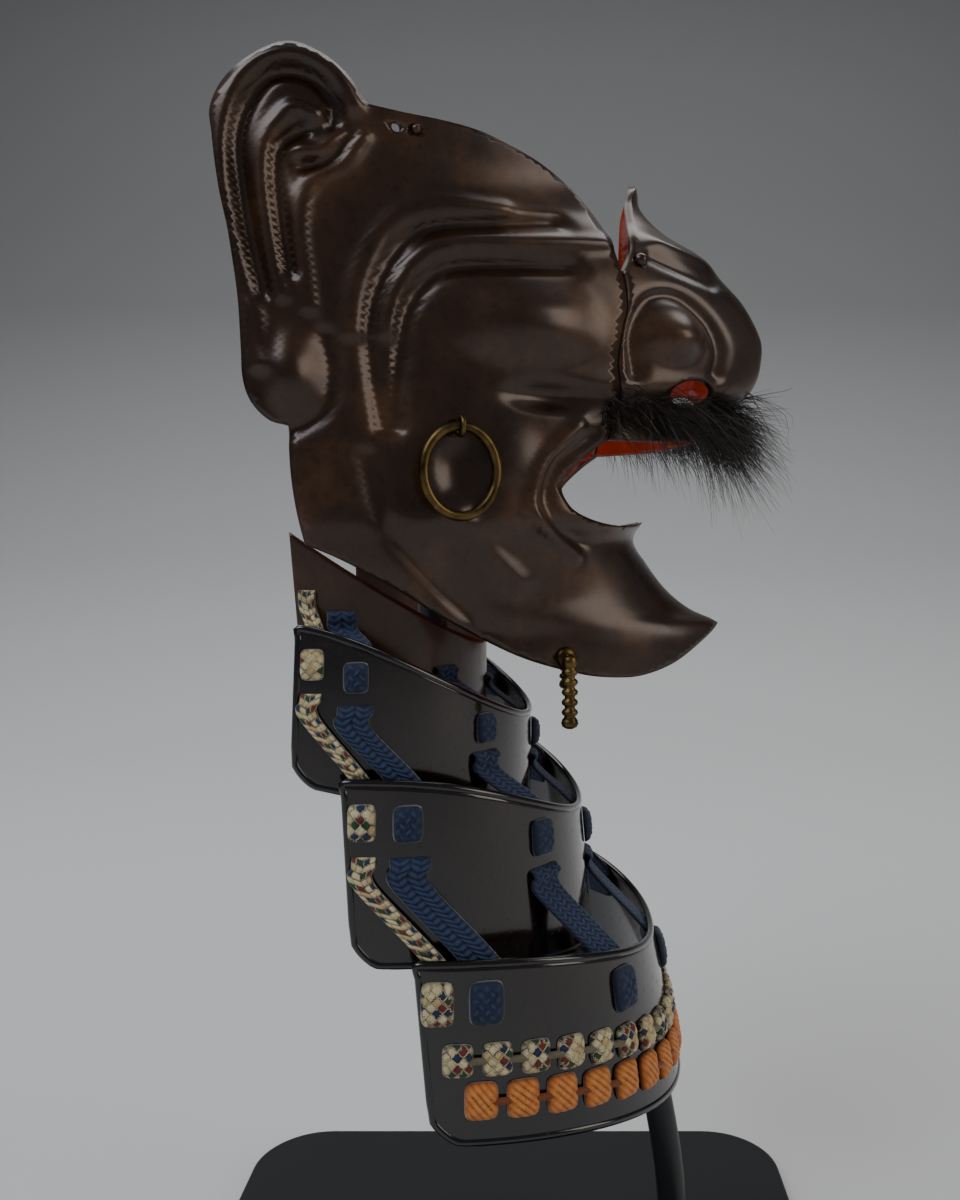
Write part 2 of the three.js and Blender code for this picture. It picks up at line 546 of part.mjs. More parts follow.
function tabBlock(band, turn, height, from, to, width, tall) {
  const { centre, normal, across, up } = bandFrame(band, turn, height, 0);
  const ends = [from, to].map((out) => ({ centre: centre.clone().addScaledVector(normal, out), across, width, normal: up }));
  return ribbon(ends, tall);
}

function lames() {
  for (const [name, band] of Object.entries(BANDS)) {
    let blank = bandBlank(band);
    if (name !== "neck_band") {
      for (const column of COLUMNS) {
        for (const [, sign] of column.place === 1 ? [SIDES[0]] : SIDES) {
          const turn = bandTurn(column.place, sign);
          const slot = tabBlock(band, turn, KNOT_HEIGHT, -4, 3, TAB.width + 2 * GAP, TAB.height + 2 * GAP);
          blank = blank.subtract(slot);
        }
      }
    }
    put(name, toGeometry(blank, 0.08), name === "neck_band" ? "iron" : "lacquer");
  }
}

// A low rounded pad of braid on the outside of a lame; levels give the share of its size at a height.
const KNOT_LEVELS = [[0.9, 0], [1, 0.4], [0.66, 1]];
const SMALL_LEVELS = [[1, 0], [0.72, 1]];

function knotPad(band, turn, height, width, tall, thick, sides, levels) {
  const { centre, normal, across, up } = bandFrame(band, turn, height, GAP);
  return loft(levels.map(([scale, level]) => Array.from({ length: sides }, (_, k) => {
    const angle = ((k + 0.5) * Math.PI * 2) / sides;
    return centre.clone().addScaledVector(normal, level * thick)
      .addScaledVector(across, (Math.cos(angle) * width * scale) / 2)
      .addScaledVector(up, (Math.sin(angle) * tall * scale) / 2);
  })));
}

function laces() {
  for (const { from, to, growth } of LACED) {
    const upper = BANDS[from];
    const lower = BANDS[to];
    const inside = -(LAME_SHEET + (RIM - LAME_SHEET) / 2 + 2.4 * GAP + BRAID / 2);
    for (const column of COLUMNS) {
      const sides = column.place === 1 ? [["front", -1]] : SIDES;
      for (const [side, sign] of sides) {
        const turn = bandTurn(column.place, sign);
        const route = [[upper, STRIP_START, GAP + BRAID / 2], [upper, STRIP_LEAVES, GAP + BRAID / 2],
          [lower, 0.97, inside], [lower, 0.86, inside], [lower, KNOT_HEIGHT - 0.04, inside]];
        const stations = route.map(([band, height, out]) => {
          return { ...bandFrame(band, turn, height, out), width: column.strip * growth };
        });
        const tab = tabBlock(lower, turn, KNOT_HEIGHT, inside, GAP + 0.6, TAB.width, TAB.height);
        const [wide, tall] = column.knot;
        const pad = knotPad(lower, turn, KNOT_HEIGHT, wide * growth, tall * growth, BRAID * 1.5, 8, KNOT_LEVELS);
        const name = `${to}_${column.name}_${side}`;
        put(name, toGeometry(ribbon(stations, BRAID).add(tab).add(pad)), column.braid);
      }
    }
  }
}

// Rows of small knots sewn along the foot of the lowest lame, each row in four stretches.
function footRows() {
  const band = BANDS.lame_4;
  for (const row of ROWS) {
    const spot = (turn) => bandPoint(band, turn, row.height, GAP).point;
    const end = Math.abs(bandTurn(row.start, 1));
    const fine = steps(-end, end, 400);
    const lengths = [0];
    for (let i = 1; i < fine.length; i++) lengths.push(lengths[i - 1] + spot(fine[i]).distanceTo(spot(fine[i - 1])));
    const total = lengths[lengths.length - 1];
    const count = Math.round(total / row.pitch);
    const turns = steps(0, total, count).map((want) => fine[lengths.findIndex((have) => have >= want - 1e-6)]);
    const perStretch = Math.ceil(turns.length / 4);
    for (let part = 0; part < 4; part++) {
      const own = turns.slice(part * perStretch, (part + 1) * perStretch);
      const stations = own.map((turn) => {
        const { centre, normal, up } = bandFrame(band, turn, row.height, 2 * GAP + 0.4);
        return { centre, normal, across: up.negate(), width: 2 };
      });
      let stretch = ribbon(stations, 0.8);
      for (const turn of own) {
        stretch = stretch.add(knotPad(band, turn, row.height, ...row.size, BRAID, 6, SMALL_LEVELS));
      }
      put(`${row.name}_${part + 1}`, toGeometry(stretch), row.braid);
    }
  }
}

// ---- stand ----
function stand() {
  const half = BASE.width / 2;
  const inner = half - BASE.corner;
  const plate = new THREE.Shape();
  plate.moveTo(half, -inner).lineTo(half, inner).absarc(inner, inner, BASE.corner, 0, Math.PI / 2);
  plate.lineTo(-inner, half).absarc(-inner, inner, BASE.corner, Math.PI / 2, Math.PI);
  plate.lineTo(-half, -inner).absarc(-inner, -inner, BASE.corner, Math.PI, Math.PI * 1.5);
  plate.lineTo(inner, -half).absarc(inner, -inner, BASE.corner, Math.PI * 1.5, Math.PI * 2);
  const base = new THREE.ExtrudeGeometry(plate, { depth: BASE.thick - 0.3, bevelEnabled: false, curveSegments: 8 });
  put("stand_base", base, "stand");

  const route = new THREE.CatmullRomCurve3(POLE.route.map(([x, z]) => new THREE.Vector3(x, 0, z)));
  const round = new THREE.Shape().absarc(0, 0, POLE.radius, 0, Math.PI * 2);
  const post = new THREE.ExtrudeGeometry(round, { extrudePath: route, steps: 18, bevelEnabled: false, curveSegments: 5 });
  const foot = POLE.route[0];
  const top = POLE.route[POLE.route.length - 1];
  const across = new THREE.Vector3(0, 1, 0);
  const bar = [[0, -CROSSBAR.half - CROSSBAR.padThick], [CROSSBAR.pad, -CROSSBAR.half - CROSSBAR.padThick],
    [CROSSBAR.pad, -CROSSBAR.half], [CROSSBAR.radius, -CROSSBAR.half], [CROSSBAR.radius, CROSSBAR.half],
    [CROSSBAR.pad, CROSSBAR.half], [CROSSBAR.pad, CROSSBAR.half + CROSSBAR.padThick], [0, CROSSBAR.half + CROSSBAR.padThick]];
  const head = turned(bar, new THREE.Vector3(top[0], 0, top[1]), across, 12);
  const collar = turned([[0, 0], [9, 0], [9, 2], [6, 4], [0, 4]], new THREE.Vector3(foot[0], 0, BASE.thick),
    new THREE.Vector3(0, 0, 1), 16);
  const trim = toManifold(new THREE.BoxGeometry(40, 40, 20).translate(foot[0], 0, BASE.thick - 10));
  put("stand_pole", toGeometry(toManifold(post).add(head).add(collar).subtract(trim)), "stand");
}

facePlate();
nosePlate();
rivets();
earRings();
chinPegs();
moustache();
lames();
laces();
footRows();
stand();

export default sheetGroup;
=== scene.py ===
"""Samurai face guard on its stand: russet iron face, red lacquered inside, laced lames, braids and hair."""
import math

import bmesh
import bpy
import numpy as np
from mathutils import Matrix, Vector
from mathutils.geometry import delaunay_2d_cdt


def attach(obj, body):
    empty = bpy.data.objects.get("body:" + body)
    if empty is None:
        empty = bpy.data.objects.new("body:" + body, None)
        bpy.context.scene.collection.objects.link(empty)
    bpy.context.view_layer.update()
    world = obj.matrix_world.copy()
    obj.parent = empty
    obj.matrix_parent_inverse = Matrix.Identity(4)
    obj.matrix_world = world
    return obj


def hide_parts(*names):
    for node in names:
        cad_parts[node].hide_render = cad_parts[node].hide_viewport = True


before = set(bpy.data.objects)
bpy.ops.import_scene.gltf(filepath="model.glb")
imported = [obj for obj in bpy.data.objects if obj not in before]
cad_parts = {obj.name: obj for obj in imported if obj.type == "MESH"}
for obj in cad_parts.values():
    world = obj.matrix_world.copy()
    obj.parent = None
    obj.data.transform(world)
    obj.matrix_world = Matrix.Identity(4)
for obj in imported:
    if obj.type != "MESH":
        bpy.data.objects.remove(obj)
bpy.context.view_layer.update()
MM = 0.001

# ---- driving sizes, in millimetres ----
SHEET = 1.6  # raised iron of the face
LAME_SHEET = 1.4
RIM = 2.4  # rolled edge of a lame
GAP = 0.35
BRAID = 1.7
REAR = -79.0  # where every head section reaches its full width
LAME_POWER = 2.2
FACE_SPACING = 1.15  # mesh points of the face
AHEAD = 90.0
SEAM_GAP = 0.7
RANDOM = np.random.default_rng(11)

# Head sections: height, reach of the front, half the full width, power of the plan curve.
HEAD = np.array([
    (197, 67, 60, 1.5), (213, 67, 60.5, 1.5), (218.5, 65.5, 61, 1.5), (222.5, 57, 62, 1.6),
    (228.5, 49.5, 62.5, 1.7), (237, 43, 63.5, 1.85), (244, 39, 64, 2.0), (250, 42, 64.5, 2.1),
    (259, 47, 65, 1.9), (271, 61, 65, 1.7), (281, 63, 65, 1.65), (285, 67, 65, 1.6),
    (288.5, 74, 65, 1.55), (293.5, 77.6, 65, 1.5), (300, 79.2, 65, 1.5), (306, 79.2, 65, 1.5),
    (313, 76.3, 65, 1.5), (319, 72.5, 65, 1.5), (325, 67, 65, 1.5), (332, 61, 65, 1.5),
    (339, 49.5, 65, 1.5), (347, 41.5, 65, 1.55), (354, 40, 65, 1.6), (377, 30, 65, 1.8),
], dtype=float)

# Folds beaten into the sheet: name, rise outward, half width, path in side view (x, z).
FOLDS = [
    ("brow edge", 1.6, 3.2, [(-38.5, 299), (-37, 312), (-31, 326), (-19, 335), (0, 335.5)]),
    ("upper groove", -2.6, 2.6, [(-30.5, 274), (-33.5, 299), (-29, 316), (-20, 327), (-3, 330.5), (16, 333)]),
    ("middle ridge", 1.8, 2.8, [(-30.5, 300), (-27, 312), (-16.5, 323), (8, 326.5), (28, 329)]),
    ("lower groove", -2.8, 2.6,
     [(-27, 274), (-26.5, 290), (-23.5, 306), (-14.5, 316.5), (3, 319), (20, 320.5)]),
    ("jaw line", -1.6, 3.5, [(-34.5, 266), (-30, 250), (-19, 236), (-4, 220)]),
    ("smile line", 1.4, 4.0, [(-12, 252), (-8, 246), (4, 233)]),
    ("lip bead", 1.7, 2.0, [(21, 276.5), (12, 267), (8, 257), (9, 251.5), (13, 246), (20, 240)]),
    ("lip channel", -1.2, 2.2, [(25, 273.5), (14, 264.5), (12, 256), (16, 248.5), (22, 244)]),
    ("ear rim", 2.4, 3.0,
     [(-61, 290), (-63, 306), (-69, 325), (-70.5, 347), (-66, 362), (-55, 369.5), (-44, 366), (-38.5, 358)]),
    ("outer ear groove", -2.6, 2.6,
     [(-61, 308), (-66, 334), (-67, 350), (-60, 363.5), (-50, 365), (-43, 359), (-43, 353)]),
    ("inner ear ridge", 2.2, 2.6, [(-56, 308), (-59.5, 328), (-60, 345), (-54, 355.5), (-48, 354.5)]),
    ("inner ear groove", -2.6, 2.2, [(-54, 314), (-57.5, 335), (-57, 346), (-51, 351)]),
    ("ear curl", 2.0, 2.4, [(-51.5, 345), (-46, 345.5), (-41, 351)]),
    ("ear hook", -2.2, 2.2, [(-50.5, 341.5), (-44.5, 344), (-39, 351)]),
    ("front ear ridge", 2.0, 2.6, [(-36.5, 350), (-41, 343), (-49, 337), (-51.5, 325), (-49, 305)]),
    ("lobe crease", -1.8, 2.4, [(-54, 272), (-45, 278), (-43, 288), (-45, 298)]),
    ("wing crease", -2.2, 2.6, [(38, 292), (37, 303), (42, 313), (51, 315), (60, 309), (64, 301), (63, 294)]),
    ("bridge fold", 1.3, 2.6, [(44, 333), (52, 331), (62, 329)]),
    ("bridge groove", -1.4, 2.6, [(43, 327), (52, 324), (62, 321)]),
]

# Round bulges: name, x, z, reach in x, reach in z, rise.
BULGES = [
    ("cheek", 6, 304, 25, 17, 5.5), ("under cheek", 14, 284, 17, 6, -3.5),
    ("ring hollow", -11, 264, 8, 12, -2.2), ("mouth mound", 2, 264, 13, 15, 1.8),
    ("ear lobe", -54, 288, 9, 14, 4.5), ("nostril wing", 49, 303, 11, 9, 4.5),
]

# Side-view outlines of the two plates; each run is smooth.
EAR = [(-35, 359), (-39.5, 365.5), (-47, 371), (-56, 372.5), (-68, 365), (-73.5, 356), (-73, 347.5),
       (-71, 334), (-68.5, 322), (-66.8, 307.5), (-66, 294), (-65.5, 286), (-63.4, 280), (-59, 275.5),
       (-54.2, 274.2)]
REAR_EDGE = [(-54.2, 274.2), (-53.5, 262.5), (-52, 252.5), (-50, 243.5)]
JAW_EDGE = [(-50, 243.5), (-40, 239), (-27, 231.5), (-16.5, 224.5), (-4, 217), (7.5, 211.3), (22, 206.6),
            (31, 205), (40, 205), (50, 208), (60, 214.3), (65.5, 218.5)]
MOUTH_EDGE = [(43, 249.8), (35, 248.5), (27, 249.6), (20.5, 252.3), (17.5, 255.5), (16.3, 259), (18, 263),
              (24.4, 269), (29.3, 272.5)]
SEAM = [(29.3, 272.5), (31, 278.5), (32.8, 285), (32, 294.6), (33.6, 304.8), (34.8, 310.7), (33.5, 320), (31, 328)]
TOP_EDGE = [(31, 328), (25, 339), (19, 345.5), (11, 350.5), (2, 354), (-7, 356.5), (-16, 357.5), (-25, 358),
            (-35, 359)]
NOSE_TOP = [(34.4, 321), (37, 328), (37.2, 338), (37.4, 347), (39.6, 354)]
CORD_HOLE = (-27.6, 354, 1.3)
TEMPLE_RIVET = (-22.7, 354, 1.3)
NOSE_STUD = (39, 325, 2.0)
RING = {"x": -12, "top": 274.5, "radius": 10.2, "tall": 1.16, "wire": 1.3, "stand_off": 4.3, "yaw": 0.42}
PEG = (17.5, 211.5, 20)
NOSTRIL = (55, 287.5, 7, 3.6, 0.2)

# Neck band and lames: upper and lower edge at front and rear, half widths, bend of the edge.
BANDS = {
    "neck_band": dict(front_top=-7, front_low=-7, rear_top=-57, rear_low=-55, half_top=50, half_low=46,
                      z_front_top=214, z_front_low=186, z_rear_top=247, z_rear_low=214, bend=1.0),
    "lame_2": dict(front_top=7, front_low=7, rear_top=-53.5, rear_low=-55, half_top=57, half_low=57,
                   z_front_top=192, z_front_low=159, z_rear_top=222.5, z_rear_low=180, bend=1.4),
    "lame_3": dict(front_top=22.5, front_low=26, rear_top=-41, rear_low=-38, half_top=61.5, half_low=62,
                   z_front_top=164.5, z_front_low=124, z_rear_top=183, z_rear_low=134, bend=2.5),
    "lame_4": dict(front_top=44.5, front_low=53, rear_top=-21.5, rear_low=-17, half_top=67, half_low=68.5,
                   z_front_top=126.5, z_front_low=84, z_rear_top=138, z_rear_low=92, bend=3.0),
}
# Braid columns: name, share of the lame's depth ahead of its rear edge, colour, strip width, knot size.
COLUMNS = [
    ("rear_cream", 0.075, "cream", 5.6, (8, 10.5)), ("rear_blue", 0.26, "blue", 9.4, (8.5, 10.5)),
    ("front_blue", 0.8, "blue", 10, (9, 11)), ("centre_blue", 1.0, "blue", 10, (9, 11)),
]
KNOT_HEIGHT = 0.77
STRIP_START = 0.56
STRIP_LEAVES = 0.44
LACED = [("neck_band", "lame_2", 0.85), ("lame_2", "lame_3", 1.0), ("lame_3", "lame_4", 1.15)]
# Foot rows: name, colour, share of the height, first place, pitch, knot size.
ROWS = [("cream_row", "cream", 0.465, 0.13, 10.3, (8.6, 9)), ("orange_row", "orange", 0.245, 0.2, 10.8, (9.4, 10.2))]
SIDES = (("right", -1), ("left", 1))


# ---- materials ----
def linear(code):
    """sRGB hex to a linear colour."""
    parts = [int(code[i:i + 2], 16) / 255 for i in (0, 2, 4)]
    return tuple(c / 12.92 if c <= 0.04045 else ((c + 0.055) / 1.055) ** 2.4 for c in parts) + (1.0,)


def add(tree, kind, settings=None, links=None):
    """One node: settings are attributes or input values, links feed its inputs."""
    node = tree.nodes.new(kind)
    for key, value in (settings or {}).items():
        if isinstance(key, str) and hasattr(node, key):
            setattr(node, key, value)
        else:
            node.inputs[key].default_value = value
    for key, source in (links or {}).items():
        tree.links.new(source, node.inputs[key])
    return node


def finish(name, colour, metallic=0.0, roughness=0.5, **more):
    """A material with its shader; returns the material, its tree and the shader."""
    material = bpy.data.materials.new(name)
    material.use_nodes = True
    tree = material.node_tree
    shader = tree.nodes["Principled BSDF"]
    shader.inputs["Base Color"].default_value = linear(colour)
    shader.inputs["Metallic"].default_value = metallic
    shader.inputs["Roughness"].default_value = roughness
    for key, value in more.items():
        shader.inputs[key.replace("_", " ")].default_value = value
    return material, tree, shader


def ramp(tree, source, stops):
    node = add(tree, "ShaderNodeValToRGB", links={"Fac": source})
    while len(node.color_ramp.elements) < len(stops):
        node.color_ramp.elements.new(0.5)
    for element, (place, colour) in zip(node.color_ramp.elements, stops):
        element.position = place
        element.color = colour if len(colour) == 4 else linear(colour)
    return node


def grey(value):
    return (value, value, value, 1.0)


def russet_iron():
    """Raised iron under a thin russet lacquer: brown, softly glossy, hammer waves and fine pitting."""
    material, tree, shader = finish("russet lacquered iron", "3d2717", 0.35, 0.32, Coat_Weight=0.35, Coat_Roughness=0.22)
    place = add(tree, "ShaderNodeTexCoord").outputs["Object"]
    stain = add(tree, "ShaderNodeTexNoise", {"Scale": 38, "Detail": 6, "Roughness": 0.62}, {"Vector": place})
    speck = add(tree, "ShaderNodeTexNoise", {"Scale": 420, "Detail": 4, "Roughness": 0.6}, {"Vector": place})
    waves = add(tree, "ShaderNodeTexNoise", {"Scale": 55, "Detail": 2}, {"Vector": place})
    tone = ramp(tree, stain.outputs["Fac"], [(0.3, "2c1b10"), (0.52, "3f2817"), (0.72, "5a3c22")])
    fleck = ramp(tree, speck.outputs["Fac"], [(0.36, grey(0.55)), (0.46, grey(1.0)), (0.7, grey(1.0)), (0.78, grey(1.5))])
    colour = add(tree, "ShaderNodeMix", {"data_type": "RGBA", "blend_type": "MULTIPLY", 0: 0.6},
                 {6: tone.outputs["Color"], 7: fleck.outputs["Color"]})
    tree.links.new(colour.outputs[2], shader.inputs["Base Color"])
    gloss = add(tree, "ShaderNodeMapRange", {"From Min": 0.3, "From Max": 0.75, "To Min": 0.24, "To Max": 0.42},
                {"Value": stain.outputs["Fac"]})
    tree.links.new(gloss.outputs["Result"], shader.inputs["Roughness"])
    fine = add(tree, "ShaderNodeBump", {"Strength": 0.25, "Distance": 0.00012}, {"Height": speck.outputs["Fac"]})
    broad = add(tree, "ShaderNodeBump", {"Strength": 0.3, "Distance": 0.0012},
                {"Height": waves.outputs["Fac"], "Normal": fine.outputs["Normal"]})
    tree.links.new(broad.outputs["Normal"], shader.inputs["Normal"])
    return material


def lacquer(name, colour, dark, roughness, wave=0.15):
    """Layers of wiped lacquer: deep, wet looking gloss with slow brush waves and small dust flecks."""
    material, tree, shader = finish(name, colour, 0.0, roughness, Coat_Weight=0.6, Coat_Roughness=0.08)
    place = add(tree, "ShaderNodeTexCoord").outputs["Object"]
    cloud = add(tree, "ShaderNodeTexNoise", {"Scale": 30, "Detail": 5, "Roughness": 0.55}, {"Vector": place})
    dust = add(tree, "ShaderNodeTexNoise", {"Scale": 600, "Detail": 2}, {"Vector": place})
    tone = ramp(tree, cloud.outputs["Fac"], [(0.35, dark), (0.65, colour)])
    tree.links.new(tone.outputs["Color"], shader.inputs["Base Color"])
    gloss = add(tree, "ShaderNodeMapRange", {"From Min": 0.55, "From Max": 0.75, "To Min": roughness,
                                            "To Max": roughness + 0.18}, {"Value": dust.outputs["Fac"]})
    tree.links.new(gloss.outputs["Result"], shader.inputs["Roughness"])
    bump = add(tree, "ShaderNodeBump", {"Strength": wave, "Distance": 0.0008}, {"Height": cloud.outputs["Fac"]})
    tree.links.new(bump.outputs["Normal"], shader.inputs["Normal"])
    return material


def old_brass():
    """Brass and copper alloy gone brown with handling: tone and gloss vary in random patches."""
    material, tree, shader = finish("tarnished brass", "6b5430", 1.0, 0.36)
    place = add(tree, "ShaderNodeTexCoord").outputs["Object"]
    stain = add(tree, "ShaderNodeTexNoise", {"Scale": 160, "Detail": 5}, {"Vector": place})
    tone = ramp(tree, stain.outputs["Fac"], [(0.35, "3a2d1d"), (0.6, "75603a")])
    tree.links.new(tone.outputs["Color"], shader.inputs["Base Color"])
    gloss = add(tree, "ShaderNodeMapRange", {"To Min": 0.28, "To Max": 0.5}, {"Value": stain.outputs["Fac"]})
    tree.links.new(gloss.outputs["Result"], shader.inputs["Roughness"])
    return material


THREAD = 0.55  # silk thread of a braid in millimetres, drawn a little coarse so that it shows


def silk(name, base, dark, light, flecks=()):
    """Flat plaited silk: matt with a soft sheen; each float of thread carries painted shade at its root and a painted
    highlight on its crown.
    """
    material, tree, shader = finish(name, base, 0.0, 0.72, Sheen_Weight=0.35, Sheen_Roughness=0.4)
    crown = add(tree, "ShaderNodeAttribute", {"attribute_name": "crown"}).outputs["Fac"]
    # Painted shade and highlight: the colour runs from the dark shade colour at the float roots to the light highlight
    # colour on the crowns.
    colour = ramp(tree, crown, [(0.0, dark), (0.55, base), (1.0, light)]).outputs["Color"]
    dye = add(tree, "ShaderNodeAttribute", {"attribute_name": "dye"}).outputs["Fac"]
    if flecks:
        step = 1 / len(flecks)
        picked = ramp(tree, dye, [(i * step, fleck) for i, fleck in enumerate(flecks)])
        picked.color_ramp.interpolation = "CONSTANT"
        # Painted shade multiplied onto the real thread colours, deepest at the float roots.
        shade = ramp(tree, crown, [(0.0, grey(0.25)), (0.6, grey(1.0))])
        colour = add(tree, "ShaderNodeMix", {"data_type": "RGBA", "blend_type": "MULTIPLY", 0: 1.0},
                     {6: picked.outputs["Color"], 7: shade.outputs["Color"]}).outputs[2]
    place = add(tree, "ShaderNodeTexCoord").outputs["Object"]
    fuzz = add(tree, "ShaderNodeTexNoise", {"Scale": 1000 / THREAD, "Detail": 3}, {"Vector": place})
    mixed = add(tree, "ShaderNodeMix", {"data_type": "RGBA", "blend_type": "OVERLAY", 0: 0.35},
                {6: colour, 7: fuzz.outputs["Color"]})
    tree.links.new(mixed.outputs[2], shader.inputs["Base Color"])
    bump = add(tree, "ShaderNodeBump", {"Strength": 0.5, "Distance": 0.0002}, {"Height": fuzz.outputs["Fac"]})
    tree.links.new(bump.outputs["Normal"], shader.inputs["Normal"])
    return material


def horse_hair():
    """Dark hair set in the lip: brown black, a dry gleam along each strand, some strands greyer."""
    material, tree, shader = finish("dark animal hair", "1c1511", 0.0, 0.48)
    strand = add(tree, "ShaderNodeAttribute", {"attribute_name": "dye"}).outputs["Fac"]
    tone = ramp(tree, strand, [(0.0, "0d0a08"), (0.6, "1f1712"), (0.9, "3a2c20"), (1.0, "7a6a58")])
    tree.links.new(tone.outputs["Color"], shader.inputs["Base Color"])
    return material


def satin_paint():
    """Black satin paint on steel: even, faintly dusty, soft wide reflections."""
    material, tree, shader = finish("black satin paint", "1a1b1d", 0.0, 0.34)
    place = add(tree, "ShaderNodeTexCoord").outputs["Object"]
    grain = add(tree, "ShaderNodeTexNoise", {"Scale": 900, "Detail": 2}, {"Vector": place})
    haze = add(tree, "ShaderNodeTexNoise", {"Scale": 9, "Detail": 4}, {"Vector": place})
    gloss = add(tree, "ShaderNodeMapRange", {"To Min": 0.28, "To Max": 0.44}, {"Value": haze.outputs["Fac"]})
    tree.links.new(gloss.outputs["Result"], shader.inputs["Roughness"])
    bump = add(tree, "ShaderNodeBump", {"Strength": 0.12, "Distance": 0.00008}, {"Height": grain.outputs["Fac"]})
    tree.links.new(bump.outputs["Normal"], shader.inputs["Normal"])
    return material


IRON = russet_iron()
RED = lacquer("red lacquer", "b3380f", "8e2408", 0.14)
BLACK = lacquer("brown black lacquer", "20140d", "130b07", 0.16, 0.25)
EDGE = lacquer("black lacquered rim", "120d0b", "080605", 0.12)
BRASS = old_brass()
HAIR = horse_hair()
STAND = satin_paint()
# Each braid: name, base colour, painted shade colour, painted highlight colour; the mottled braid then lists its real
# thread colours.
SILK = {
    "blue": silk("indigo silk braid", "16243f", "070b16", "2c4068"),
    "orange": silk("orange silk braid", "c9742e", "7d3d12", "e79c55"),
    "cream": silk("mottled silk braid", "cbb98c", "6e5a3a", "e9dcb6",
                  ("d3c193", "e0d2a8", "c9b07c", "25452f", "dccb9d", "1d2b4e", "d6c496", "6d2a24")),
}


# ---- mesh helpers; points in millimetres until the mesh is made ----
def make(name, points, faces, material, smooth=True, values=None, materials=None, face_slots=None):
    mesh = bpy.data.meshes.new(name)
    mesh.from_pydata((np.asarray(points, dtype=float) * MM).tolist(), [], [tuple(map(int, f)) for f in faces])
    for slot_material in materials or [material]:
        mesh.materials.append(slot_material)
    if face_slots is not None:
        mesh.polygons.foreach_set("material_index", np.asarray(face_slots, dtype=np.int32))
    if smooth:
        mesh.shade_smooth()
    for key, value in (values or {}).items():
        layer = mesh.attributes.new(key, "FLOAT", "POINT")
        layer.data.foreach_set("value", np.asarray(value, dtype=np.float32))
    mesh.validate()
    piece = bpy.data.objects.new(name, mesh)
    bpy.context.scene.collection.objects.link(piece)
    return piece


def outward(piece):
    """Merges doubles and turns every face of a closed mesh outwards."""
    work = bmesh.new()
    work.from_mesh(piece.data)
    bmesh.ops.remove_doubles(work, verts=work.verts, dist=1e-7)
    bmesh.ops.recalc_face_normals(work, faces=work.faces)
    work.to_mesh(piece.data)
    work.free()
    return piece


def settle(piece, nodes, body="guard"):
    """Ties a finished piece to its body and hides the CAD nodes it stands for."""
    if nodes:
        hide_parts(*nodes)
    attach(piece, body)
    return piece


def smooth_path(points, per_segment):
    """Catmull-Rom curve through the points."""
    p = np.asarray(points, dtype=float)
    if len(p) == 2:
        return p[0] + np.linspace(0, 1, per_segment + 1)[:, None] * (p[1] - p[0])
    padded = np.vstack([2 * p[0] - p[1], p, 2 * p[-1] - p[-2]])
    out = []
    for i in range(len(p) - 1):
        a, b, c, d = padded[i:i + 4]
        for t in np.linspace(0, 1, per_segment, endpoint=False):
            out.append(0.5 * (2 * b + (c - a) * t + (2 * a - 5 * b + 4 * c - d) * t * t + (3 * b - a - 3 * c + d) * t ** 3))
    out.append(p[-1])
    return np.array(out)


def even_path(points, spacing):
    """The same line with its points a constant distance apart."""
    length = np.concatenate([[0], np.cumsum(np.linalg.norm(np.diff(points, axis=0), axis=1))])
    count = max(int(round(length[-1] / spacing)), 2)
    want = np.linspace(0, length[-1], count + 1)
    return np.stack([np.interp(want, length, points[:, k]) for k in range(points.shape[1])], axis=1)


def column(z, k):
    """Smooth value of a head table column at heights z."""
    rows = HEAD
    z = np.clip(z, rows[0, 0], rows[-1, 0])
    last = len(rows) - 1
    i = np.clip(np.searchsorted(rows[:, 0], z) - 1, 0, last - 1)
    high = np.minimum(np.arange(last + 1) + 1, last)
    low = np.maximum(np.arange(last + 1) - 1, 0)
    slope = (rows[high, k] - rows[low, k]) / (rows[high, 0] - rows[low, 0])
    step = rows[i + 1, 0] - rows[i, 0]
    t = (z - rows[i, 0]) / step
    h = t * t * (3 - 2 * t)
    return (rows[i, k] * (1 - h) + rows[i + 1, k] * h
            + step * (slope[i] * t * (1 - t) ** 2 - slope[i + 1] * t * t * (1 - t)))


FOLD_LINES = [(rise, width, smooth_path(path, 6)) for _, rise, width, path in FOLDS]


def relief(x, z):
    """How far the sheet stands out of its plain section at side-view places."""
    rise_here = np.zeros_like(x)
    for rise, width, line in FOLD_LINES:
        best = np.full_like(x, 1e9)
        for a, b in zip(line[:-1], line[1:]):
            d = b - a
            t = np.clip(((x - a[0]) * d[0] + (z - a[1]) * d[1]) / (d @ d), 0, 1)
            best = np.minimum(best, (x - a[0] - t * d[0]) ** 2 + (z - a[1] - t * d[1]) ** 2)
        rise_here += rise * np.exp(-best / width ** 2 * 1.4)
    for _, cx, cz, reach_x, reach_z, rise in BULGES:
        away = np.clip(((x - cx) / reach_x) ** 2 + ((z - cz) / reach_z) ** 2, 0, 1)
        rise_here += rise * (1 - away) ** 2
    return rise_here


def head_points(turn, z, inset=0.0):
    """Points of the head at turns from the front (radians, right side negative) and heights."""
    power, front, half = column(z, 3), column(z, 1), column(z, 2)
    c = np.clip(np.cos(turn), 0, 1)
    s = np.abs(np.sin(turn))
    x_share = 1 - c ** (2 / power)
    skin_x = front - (front - REAR) * x_share
    f = front - inset * 1.15
    h = half - inset
    point = np.stack([f - (f - REAR) * x_share, np.sign(turn) * h * s ** (2 / power), z], axis=-1)
    out = np.stack([c ** 1.5, np.sign(turn) * s, np.zeros_like(s)], axis=-1)
    out /= np.linalg.norm(out, axis=-1, keepdims=True)
    return point + out * (relief(skin_x, z) * np.minimum(s * 2.5, 1))[..., None]


def turn_at(x, z):
    front = column(z, 1)
    share = np.clip((x - REAR) / (front - REAR), 0, 1)
    return np.arccos(np.clip(share ** (column(z, 3) / 2), 0, 1))


